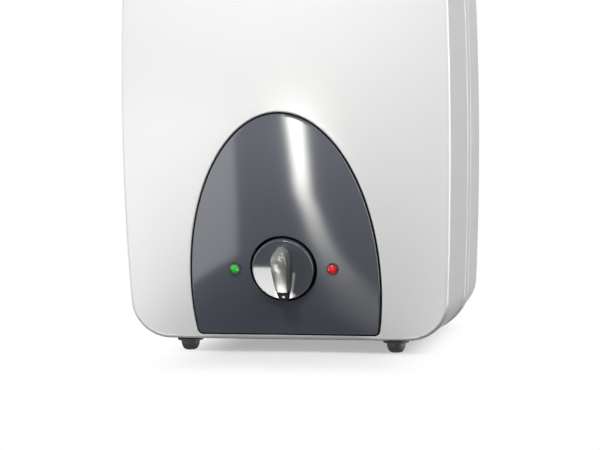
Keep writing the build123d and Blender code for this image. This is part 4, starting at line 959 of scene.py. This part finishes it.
def metal(name, colour, roughness):
    """Metal with fine brushed lines."""
    given = {"Colour": (*colour, 1), "Roughness": roughness}
    return grouped_finish(name, "brushed_metal", given, 0.1, {"Metallic": 1})


def lens_finish(name, colour, x, radius):
    """Tinted lens with painted light and shade: painted bright in its middle, where light gathers, and painted
    dark by its ring, by distance from the lens's middle. It also glows a little, most in its middle, as a lit
    pilot light.
    """
    material, tree, shader = new_finish(name)
    distance = distance_from(tree, face_frame(x, KNOB_HEIGHT)[0])
    # Painted light and shade: the lens's colour runs from bright in the middle to dark at the ring.
    reach = add_node(
        tree, "ShaderNodeMapRange", {"Value": distance, "From Min": 1.9 * MM, "From Max": radius})
    depth = add_node(tree, "ShaderNodeValToRGB", {0: reach.outputs["Result"]})
    bright, dark = depth.color_ramp.elements
    bright.position, bright.color = 0.2, (*colour, 1)
    dark.position, dark.color = 1.0, (*(0.12 * part for part in colour), 1)
    set_inputs(tree, shader, {
        "Base Color": depth.outputs[0], "Emission Color": depth.outputs[0], "Emission Strength": 0.5,
        "Roughness": 0.12, "Specular IOR Level": 0.3})
    return material


def panel_finish(panel):
    """Glossy panel whose knob well, told by the distance from the knob's middle, is painted matt black with no
    gloss: painted shade for the dark gap round the knob, which also hides the gloss on the well's rim.
    """
    material = plastic("panel slate", panel.colour, 0.1, 0.0, 0.04)
    tree = material.node_tree
    shader = tree.nodes["Principled BSDF"]
    plain = shader.inputs["Base Color"].links[0].from_socket
    # Painted shade: the well and its rim turn black and lose their gloss, for the dark gap round the knob.
    painted_well_shade = soft_step(tree, distance_from(tree, KNOB_PLACE[0]), 26.1 * MM, 25.7 * MM)
    shine = add_node(tree, "ShaderNodeMapRange", {"Value": painted_well_shade, "To Min": 0.5, "To Max": 0.0})
    set_inputs(tree, shader, {
        "Base Color": mix_colours(tree, painted_well_shade, plain, (0.004, 0.004, 0.0045, 1)),
        "Specular IOR Level": shine.outputs["Result"]})
    return material


def pointer_finish(knob):
    """Black pointer with a round pale mark near its tip, drawn by distance from a point. The mark glows a little:
    painted light that keeps it bright where the ramp faces down.
    """
    material, tree, shader = new_finish("pointer black")
    spot = placed(KNOB_PLACE, 0.0, -20.6 * MM, knob.proud + 2.6 * MM)
    mask = add_node(tree, "ShaderNodeMapRange", {
        "Value": distance_from(tree, spot), "From Min": 1.0 * MM, "From Max": 1.35 * MM, "To Min": 1, "To Max": 0})
    colour = mix_colours(tree, mask.outputs["Result"], (0.003, 0.003, 0.0035, 1), (*knob.dot_colour, 1))
    # Painted light: the emission makes the mark glow, though it is no lamp.
    set_inputs(tree, shader, {
        "Base Color": colour, "Emission Color": colour, "Emission Strength": 0.6, "Roughness": 0.35,
        "Specular IOR Level": 0.06})
    return material


FINISHES = {}


def finish(name):
    """The material of that name, built once."""
    scene = bpy.context.scene
    radius = scene.heater_lamps.radius
    if name not in FINISHES:
        makers = {
            "white": lambda: plastic("casing white", scene.heater_casing.colour, 0.28, 0.04, 0.01),
            "band": lambda: plastic("seam grey", scene.heater_casing.band_colour, 0.6),
            "slate": lambda: panel_finish(scene.heater_panel),
            "black": lambda: plastic("black plastic", (0.012, 0.012, 0.013), 0.35),
            "seal": lambda: plastic("seal black", (0.008, 0.008, 0.009), 0.8, specular=0.1),
            "rubber": lambda: plastic("black rubber", (0.018, 0.018, 0.018), 0.6, 0.2),
            "knob": lambda: plastic("disc slate", scene.heater_knob.colour, 0.06, 0.0, 0.02, specular=0.6),
            "grip": lambda: plastic("grip slate", (0.2, 0.207, 0.188), 0.22, 0.0, 0.02, specular=0.8),
            "pointer": lambda: pointer_finish(scene.heater_knob),
            "green": lambda: lens_finish("green lens", scene.heater_lamps.green, -LAMP_SPREAD, radius),
            "red": lambda: lens_finish("red lens", scene.heater_lamps.red, LAMP_SPREAD, radius),
            "steel": lambda: metal("stainless steel", (0.68, 0.68, 0.67), 0.25),
            "zinc": lambda: metal("zinc plate", (0.6, 0.61, 0.63), 0.38),
            "brass": lambda: metal("machined brass", (0.72, 0.52, 0.25), 0.28),
            "copper": lambda: metal("drawn copper", (0.75, 0.4, 0.26), 0.3),
            "magnesium": lambda: metal("cast magnesium", (0.55, 0.55, 0.56), 0.6),
            "enamel": lambda: plastic("tank enamel", (0.05, 0.07, 0.13), 0.25, coat=0.6),
            "foam": lambda: plastic("foam", (0.82, 0.83, 0.85), 0.9, 0.5, 0.06, scale=350),
            "cream": lambda: plastic("cream plastic", (0.66, 0.62, 0.5), 0.5),
            "nylon": lambda: plastic("grey nylon", (0.09, 0.09, 0.1), 0.5, 0.1),
            "blue": lambda: plastic("blue collar", (0.02, 0.09, 0.42), 0.35, 0.1),
            "red_trim": lambda: plastic("red collar", (0.45, 0.02, 0.02), 0.35, 0.1),
            "wire": lambda: plastic("wire insulation", (0.22, 0.1, 0.04), 0.5),
        }
        FINISHES[name] = makers[name]()
    return FINISHES[name]


FINISH_NODES = {
    "white": ("front_shell", "rear_shell"),
    "band": ("seam_band",),
    "slate": ("control_panel",),
    "knob": ("knob_dial",),
    "green": ("green_lens",),
    "red": ("red_lens",),
    "black": ("knob_pointer", "lamp_bezels", "thermostat_body", "limit_cutout"),
    "rubber": ("feet", "panel_gasket", "flange_gasket", "gland_liner"),
    "zinc": ("thermostat_spindle", "thermostat_bracket", "thermostat_screws", "foot_screws", "support_plate",
             "plate_screws", "element_flange", "flange_bolts", "relief_valve_lever", "wall_bracket",
             "bracket_screws"),
    "steel": ("cold_inlet_pipe", "hot_outlet_pipe", "heating_element", "relief_valve_stem",
              "relief_valve_spring", "lever_pin"),
    "brass": ("thermowell", "earth_stud", "relief_valve_body", "relief_valve_bonnet"),
    "copper": ("capillary_tube", "sensing_bulb"),
    "magnesium": ("anode_rod",),
    "enamel": ("tank",),
    "foam": ("foam_front", "foam_rear"),
    "cream": ("lamp_holders", "terminal_block"),
    "nylon": ("cable_gland", "gland_nut", "gland_cap"),
    "blue": ("cold_collar",),
    "red_trim": ("hot_collar", "reset_button"),
    "wire": ("wiring",),
}
NODE_FINISHES = {node: name for name, nodes in FINISH_NODES.items() for node in nodes}


class HeaterOperator:
    """What the operators share."""

    bl_options = {"REGISTER", "UNDO"}


class FinishNodes(HeaterOperator, bpy.types.Operator):
    """Gives every CAD node its finish."""

    bl_idname = "heater.finish_nodes"
    bl_label = "Finish the solids"

    def execute(self, context):
        for name, node in frame["nodes"].items():
            node.data.materials.clear()
            node.data.materials.append(finish(NODE_FINISHES[name]))
        return {"FINISHED"}


class FrontCasing(HeaterOperator, bpy.types.Operator):
    """Builds the domed front casing with its arch cut-out."""

    bl_idname = "heater.front_casing"
    bl_label = "Front casing"

    def execute(self, context):
        make_front_casing(context.scene.heater_casing, finish("white"))
        return {"FINISHED"}


class RearCasing(HeaterOperator, bpy.types.Operator):
    """Builds the rear casing and the band in the seam."""

    bl_idname = "heater.rear_casing"
    bl_label = "Rear casing"

    def execute(self, context):
        make_rear_casing(context.scene.heater_casing, finish("white"))
        make_seam_band(finish("band"))
        return {"FINISHED"}


class ControlPanel(HeaterOperator, bpy.types.Operator):
    """Builds the slate panel with the knob's well."""

    bl_idname = "heater.control_panel"
    bl_label = "Control panel"

    def execute(self, context):
        make_control_panel(context.scene.heater_panel, finish("slate"))
        make_panel_seal(context.scene.heater_panel, finish("seal"))
        return {"FINISHED"}


class Knob(HeaterOperator, bpy.types.Operator):
    """Builds the knob's disc, grip and pointer."""

    bl_idname = "heater.knob"
    bl_label = "Knob"

    def execute(self, context):
        settings = context.scene.heater_knob
        disc = [make_knob_disc(settings)]
        make_piece("dial_disc", disc, finish("knob"), "knob", ("knob_dial",))
        make_piece("dial_grip", make_grip(settings), finish("grip"), "knob", sharp=50)
        make_pointer(settings, finish("pointer"))
        return {"FINISHED"}


class PilotLights(HeaterOperator, bpy.types.Operator):
    """Builds the green and the red pilot light."""

    bl_idname = "heater.pilot_lights"
    bl_label = "Pilot lights"

    def execute(self, context):
        glass = {"green_light": finish("green"), "red_light": finish("red")}
        make_lamps(context.scene.heater_lamps, glass, finish("black"))
        return {"FINISHED"}


class Feet(HeaterOperator, bpy.types.Operator):
    """Builds the four rubber feet."""

    bl_idname = "heater.feet"
    bl_label = "Feet"

    def execute(self, context):
        make_feet(finish("rubber"))
        return {"FINISHED"}


class WaterPipes(HeaterOperator, bpy.types.Operator):
    """Builds the two threaded nipples and their collars."""

    bl_idname = "heater.water_pipes"
    bl_label = "Water pipes"

    def execute(self, context):
        make_pipe("cold_nipple", "cold_inlet_pipe", PIPE_SPREAD, finish("steel"))
        make_pipe("hot_nipple", "hot_outlet_pipe", -PIPE_SPREAD, finish("steel"))
        make_collar("cold_ring", "cold_collar", PIPE_SPREAD, finish("blue"))
        make_collar("hot_ring", "hot_collar", -PIPE_SPREAD, finish("red_trim"))
        return {"FINISHED"}


class Fittings(HeaterOperator, bpy.types.Operator):
    """Smooths the visible solids that keep their own shape."""

    bl_idname = "heater.fittings"
    bl_label = "Valve, gland and bracket"

    def execute(self, context):
        for name in ("relief_valve_body", "relief_valve_bonnet", "relief_valve_stem", "relief_valve_lever",
                     "lever_pin", "cable_gland", "gland_cap", "gland_liner", "wall_bracket",
                     "bracket_screws", "foot_screws", "reset_button", "panel_gasket"):
            smooth_copy(name, finish(NODE_FINISHES[name]), 8.0 if name == "wall_bracket" else 30.0)
        return {"FINISHED"}


# Studio

# Fades of the floor towards plain white: axis, where the shadows end and where they show in full
FLOOR_FADES = (("X", -0.105, -0.045), ("X", 0.12, 0.07), ("Y", CROWN - 0.095, CROWN - 0.02),
               ("Y", CROWN + 0.26, CROWN + 0.2))
FLOOR_LIFT = 0.36

# Room that gloss sees: height of a direction and its tone there, and the share of it behind the heater
ROOM_TONES = (
    (-1.0, 2.3), (-0.95, 1.5), (-0.84, 0.8), (-0.66, 0.14), (-0.56, 0.15), (-0.47, 0.5), (-0.31, 0.87),
    (-0.13, 1.45), (0.05, 1.5), (0.35, 1.0), (1.0, 0.6))
BRIGHTEST = 2.3
FAR_SHARE = 0.49

# Long reflector before the heater: height, left and right edge, glow, and how the glow falls off across it
STREAK_ROWS = np.array([
    (190, -158, -72, 0), (165, -153, -70, 30), (129, -148, -67, 34), (87, -140, -65, 34), (-33, -130, -61, 30),
    (-120, -128, -64, 25), (-160, -127, -66, 20), (-215, -112, -50, 14), (-280, -105, -42, 9.5),
    (-343, -104, -34, 6.7), (-400, -95, -25, 4.8), (-453, -106, -10, 3.2), (-510, -118, -19, 2.2),
    (-564, -120, -29, 1.6), (-650, -140, -35, 1.2), (-750, -150, -40, 1.0)]) * (MM, MM, MM, 1)
STREAK_ACROSS = np.array([
    (-0.3, 0), (-0.12, 0.2), (0.1, 0.75), (0.3, 1), (0.7, 1), (0.9, 0.75), (1.12, 0.2), (1.3, 0)])
STREAK_AWAY = 900 * MM
SIDE_GLOW = 9.0
CARD_COLOUR = (1, 1, 0.98)

# Lamps: name, its power's setting, azimuth and elevation in degrees, distance, size and target
LAMPS = (
    ("key", "key", -9.9, 52.8, 1.7, 0.12, (0, CROWN, KNOB_HEIGHT)),
    ("low_left", "left", -42, -10, 0.5, 0.4, (-0.06, CROWN, 0.09)),
    ("high_right", "right", 38, 38, 1.1, 0.6, (0.1, CROWN, 0.55)),
    ("behind", "back", -150, 30, 2.0, 1.2, (0, CROWN + BODY_DEPTH / 2, MID_HEIGHT)),
)


def light_path_mix(tree, plain, special, *kinds):
    """Shows the special shader to some kinds of ray and the plain one to all others."""
    path = add_node(tree, "ShaderNodeLightPath").outputs
    share = path[kinds[0]]
    for kind in kinds[1:]:
        share = add_node(tree, "ShaderNodeMath", {0: share, 1: path[kind]}, operation="MAXIMUM").outputs[0]
    return mix_shaders(tree, share, plain, special)


def floor_finish():
    """White floor: shadows show under and just before the heater, and farther out it is plain white.

    Only the camera sees it so. Other rays meet a dim floor, and from below it is clear."""
    material, tree, shader = new_finish("studio floor")
    set_inputs(tree, shader, {"Base Color": (0.72, 0.72, 0.72, 1), "Roughness": 0.9, "Specular IOR Level": 0})
    lift = add_node(tree, "ShaderNodeEmission", {"Strength": FLOOR_LIFT}).outputs[0]
    lifted = add_shaders(tree, shader.outputs[0], lift)
    plain = add_node(tree, "ShaderNodeEmission", {"Strength": 1.0}).outputs[0]
    coords = add_node(tree, "ShaderNodeTexCoord").outputs["Object"]
    axes = add_node(tree, "ShaderNodeSeparateXYZ", {0: coords}).outputs
    share = 1.0
    for axis, start, end in FLOOR_FADES:
        edge = soft_step(tree, axes[axis], start, end)
        share = add_node(tree, "ShaderNodeMath", {0: share, 1: edge}, operation="MULTIPLY").outputs[0]
    faded = mix_shaders(tree, share, plain, lifted)
    dim = add_node(tree, "ShaderNodeBsdfDiffuse", {"Color": (0.1, 0.1, 0.1, 1)}).outputs[0]
    seen = light_path_mix(tree, dim, faded, "Is Camera Ray")
    back = add_node(tree, "ShaderNodeNewGeometry").outputs["Backfacing"]
    clear = add_node(tree, "ShaderNodeBsdfTransparent").outputs[0]
    set_inputs(tree, tree.nodes["Material Output"], {"Surface": mix_shaders(tree, back, seen, clear)})
    return material


def make_floor():
    """A wide flat floor under the feet; gloss shows the room's own gradient in its place."""
    half = 6.0
    corners = np.array([[[-half, -half, 0], [half, -half, 0]], [[-half, half, 0], [half, half, 0]]], float)
    points, quads = sheet(corners)
    floor = add_object("floor", new_mesh("floor", points, quads[:, ::-1], floor_finish()))
    floor.visible_glossy = False
    return floor


def make_world(fill):
    """Soft room light, white to the camera, and a room with a bright horizon to gloss and glass."""
    world = bpy.data.worlds.new("studio")
    bpy.context.scene.world = world
    world.use_nodes = True
    tree = world.node_tree
    room = tree.nodes["Background"]
    set_inputs(tree, room, {"Color": (1, 1, 1, 1), "Strength": fill})
    white = add_node(tree, "ShaderNodeBackground", {"Color": (1, 1, 1, 1)}).outputs[0]
    coords = add_node(tree, "ShaderNodeTexCoord").outputs["Generated"]
    axes = add_node(tree, "ShaderNodeSeparateXYZ", {0: coords}).outputs
    place = add_node(tree, "ShaderNodeMapRange", {"Value": axes["Z"], "From Min": -1}).outputs["Result"]
    tones = add_node(tree, "ShaderNodeValToRGB", {0: place})
    stops = tones.color_ramp.elements
    while len(stops) < len(ROOM_TONES):
        stops.new(0.5)
    for stop, (height, tone) in zip(stops, ROOM_TONES):
        stop.position = (height + 1) / 2
        stop.color = (tone / BRIGHTEST, tone / BRIGHTEST, tone / BRIGHTEST, 1)
    far = add_node(tree, "ShaderNodeMapRange", {
        "Value": axes["Y"], "From Min": 0.2, "From Max": 0.8, "To Min": BRIGHTEST,
        "To Max": BRIGHTEST * FAR_SHARE}).outputs["Result"]
    mirrored = add_node(tree, "ShaderNodeBackground", {"Color": tones.outputs[0], "Strength": far}).outputs[0]
    gloss = light_path_mix(tree, room.outputs[0], mirrored, "Is Glossy Ray", "Is Transmission Ray")
    seen = light_path_mix(tree, gloss, white, "Is Camera Ray")
    set_inputs(tree, tree.nodes["World Output"], {"Surface": seen})


def make_card(name, points, glow, colour):
    """A reflector that only gloss sees: a grid of points, each with its own glow."""
    material, tree, shader = new_finish(name)
    tree.nodes.remove(shader)
    strength = add_node(tree, "ShaderNodeAttribute", attribute_name="glow").outputs["Fac"]
    shine = add_node(tree, "ShaderNodeEmission", {"Color": (*colour, 1), "Strength": strength}).outputs[0]
    clear = add_node(tree, "ShaderNodeBsdfTransparent").outputs[0]
    set_inputs(tree, tree.nodes["Material Output"], {"Surface": add_shaders(tree, shine, clear)})
    mesh = new_mesh(name, *sheet(points), material)
    mesh.attributes.new("glow", "FLOAT", "POINT").data.foreach_set("value", glow.ravel())
    card = add_object(name, mesh)
    card.visible_camera = False
    card.visible_diffuse = False
    card.visible_transmission = False
    card.visible_shadow = False


def make_streak():
    """Tall bright reflector far before the heater, dimmer towards its foot, that the gloss panel mirrors."""
    height, left, right, glow = STREAK_ROWS.T[..., None]
    across, share = STREAK_ACROSS.T
    x = left + (right - left) * across
    points = np.stack(np.broadcast_arrays(x, CROWN - STREAK_AWAY, height), axis=-1)
    make_card("tall reflector", points, glow * share, (1, 0.99, 0.93))


def make_side_card():
    """Tall curved reflector at the right, that the rounded edge between the front and the wall mirrors."""
    turn = np.radians(np.linspace(70, 118, 16))
    height = np.array([[-0.3], [0.9]])
    points = np.stack(np.broadcast_arrays(np.sin(turn), CROWN + 0.1 - np.cos(turn), height), axis=-1)
    make_card("right reflector", points, np.full(points.shape[:2], SIDE_GLOW), (1, 1, 1))


def mirrored_onto(points, normal, eye, height):
    """Points carried from a surface along the mirrored line of sight down to a height."""
    sight = points - np.asarray(eye)
    mirrored = sight - 2 * (sight * normal).sum(axis=-1, keepdims=True) * normal
    return points + mirrored * ((height - points[..., 2]) / mirrored[..., 2])[..., None]


def make_low_card(knob, eye):
    """Bright reflector on the floor, of the shape that part of the knob's disc mirrors to the camera.

    The disc's points are u across and v up. The glow ends softly at a side that moves right towards the foot."""
    v = np.linspace(-1, 0.09, 40)[:, None] * knob.radius
    edge = np.sqrt(np.maximum(knob.radius**2 - v**2, 0))
    u = edge * np.linspace(-1, 0.8, 40)
    floor = mirrored_onto(placed(KNOB_PLACE, u, v, knob.proud), KNOB_PLACE[3], eye, 1 * MM)
    side = -2 * MM + 12 * MM * np.clip((-12 * MM - v) / (10 * MM), 0, 1)
    soft = np.clip((side + 3 * MM - u) / (6 * MM), 0, 1)
    glow = (13 - 3 * v / knob.radius) * soft**2 * (3 - 2 * soft)
    make_card("low reflector", floor, glow, CARD_COLOUR)


def make_grip_card(knob, eye):
    """Small reflector under the knob, of the shape that the sloping end of the grip mirrors to the camera."""
    along, half, crest = grip_sections(knob)
    chosen = along < 7 * MM
    along, half, crest = along[chosen], half[chosen], crest[chosen]
    slope = np.gradient(crest, along)
    normal = np.stack([np.zeros_like(slope), -slope, np.ones_like(slope)], axis=-1)
    normal /= np.linalg.norm(normal, axis=-1, keepdims=True)
    normal = (normal @ np.stack(KNOB_PLACE[1:]))[:, None]
    across = half[:, None] * np.linspace(-1.3, 1.3, 9)
    card = mirrored_onto(placed(KNOB_PLACE, across, along[:, None], crest[:, None]), normal, eye, 34 * MM)
    glow = np.interp(-along, np.array([-7, -5, 2, 6, 11, 16]) * MM, [0, 3.2, 3.6, 5, 12, 15])
    make_card("grip reflector", card, np.broadcast_to(glow[:, None], across.shape), CARD_COLOUR)


def pose_matrix(right, up, back, position):
    """Matrix of a lamp or camera with these axes at a position."""
    return Matrix([[right[i], up[i], back[i], position[i]] for i in range(3)] + [[0, 0, 0, 1]])


def make_area_light(name, power, azimuth, elevation, distance, size, target):
    """A soft light at an azimuth and elevation from a target, turned to it."""
    lamp = bpy.data.lights.new(name, "AREA")
    lamp.energy = power
    lamp.size = size
    turn, rise = math.radians(azimuth), math.radians(elevation)
    back = np.array([math.sin(turn) * math.cos(rise), -math.cos(turn) * math.cos(rise), math.sin(rise)])
    right = np.cross((0, 0, 1), back)
    right /= np.linalg.norm(right)
    light = add_object(name, lamp)
    light.matrix_world = pose_matrix(right, np.cross(back, right), back, np.asarray(target) + distance * back)
    light.visible_camera = False
    return light


def spare_floor(light, floor):
    """Keeps a light off the floor, where only the soft shadow of the room and the other lights shows."""
    receivers = bpy.data.collections.new("all but the floor")
    receivers.objects.link(floor)
    receivers.collection_objects[0].light_linking.link_state = "EXCLUDE"
    light.light_linking.receiver_collection = receivers


def make_camera(studio):
    """Camera at mid height of the body, level, with the photo's turn, roll and framing."""
    camera = bpy.data.cameras.new("camera")
    camera.lens = studio.lens
    camera.sensor_width = 36
    camera.shift_x = studio.shift_x
    camera.shift_y = studio.shift_y
    camera.clip_end = 50
    turn, roll = studio.azimuth, studio.roll
    right = np.array([math.cos(turn), math.sin(turn), 0])
    forward = np.array([-math.sin(turn), math.cos(turn), 0])
    up = np.array([0, 0, 1.0])
    rolled_right = math.cos(roll) * right + math.sin(roll) * up
    rolled_up = math.cos(roll) * up - math.sin(roll) * right
    position = np.array([0, CROWN, MID_HEIGHT]) - studio.distance * forward
    view = add_object("camera", camera)
    view.matrix_world = pose_matrix(rolled_right, rolled_up, -forward, position)
    bpy.context.scene.camera = view
    return position


class Studio(HeaterOperator, bpy.types.Operator):
    """Builds the floor, the room, the lights and the camera."""

    bl_idname = "heater.studio"
    bl_label = "Studio"

    def execute(self, context):
        studio, knob = context.scene.heater_studio, context.scene.heater_knob
        floor = make_floor()
        make_world(studio.fill)
        for name, setting, *placement in LAMPS:
            light = make_area_light(name, getattr(studio, setting), *placement)
            if name == "key":
                spare_floor(light, floor)
        eye = make_camera(studio)
        make_streak()
        make_side_card()
        make_low_card(knob, eye)
        make_grip_card(knob, eye)
        context.scene.view_settings.view_transform = "Standard"
        return {"FINISHED"}


OPERATORS = (
    FinishNodes, FrontCasing, RearCasing, ControlPanel, Knob, PilotLights, Feet, WaterPipes, Fittings, Studio)


class HeaterPanel(bpy.types.Panel):
    """Lists the heater's pieces in the sidebar."""

    bl_idname = "VIEW3D_PT_heater"
    bl_label = "Water heater"
    bl_space_type = "VIEW_3D"
    bl_region_type = "UI"
    bl_category = "Water heater"

    def draw(self, context):
        for operator in OPERATORS:
            self.layout.operator(operator.bl_idname)
        for name in SETTINGS:
            box = self.layout.box()
            group = getattr(context.scene, name)
            for key in group.bl_rna.properties.keys():
                if key not in ("name", "rna_type"):
                    box.prop(group, key)


CLASSES = (*SETTINGS.values(), *OPERATORS, HeaterPanel)


def register():
    """Registers the classes and adds the settings to the scene."""
    for entry in CLASSES:
        bpy.utils.register_class(entry)
    for name, group in SETTINGS.items():
        setattr(bpy.types.Scene, name, PointerProperty(type=group))


def unregister():
    """Takes the settings and the classes away again."""
    for name in SETTINGS:
        delattr(bpy.types.Scene, name)
    for entry in reversed(CLASSES):
        bpy.utils.unregister_class(entry)


def main():
    """Runs every operator in order."""
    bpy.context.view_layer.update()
    register()
    for operator in OPERATORS:
        group, name = operator.bl_idname.split(".")
        getattr(getattr(bpy.ops, group), name)()


if __name__ == "__main__":
    main()
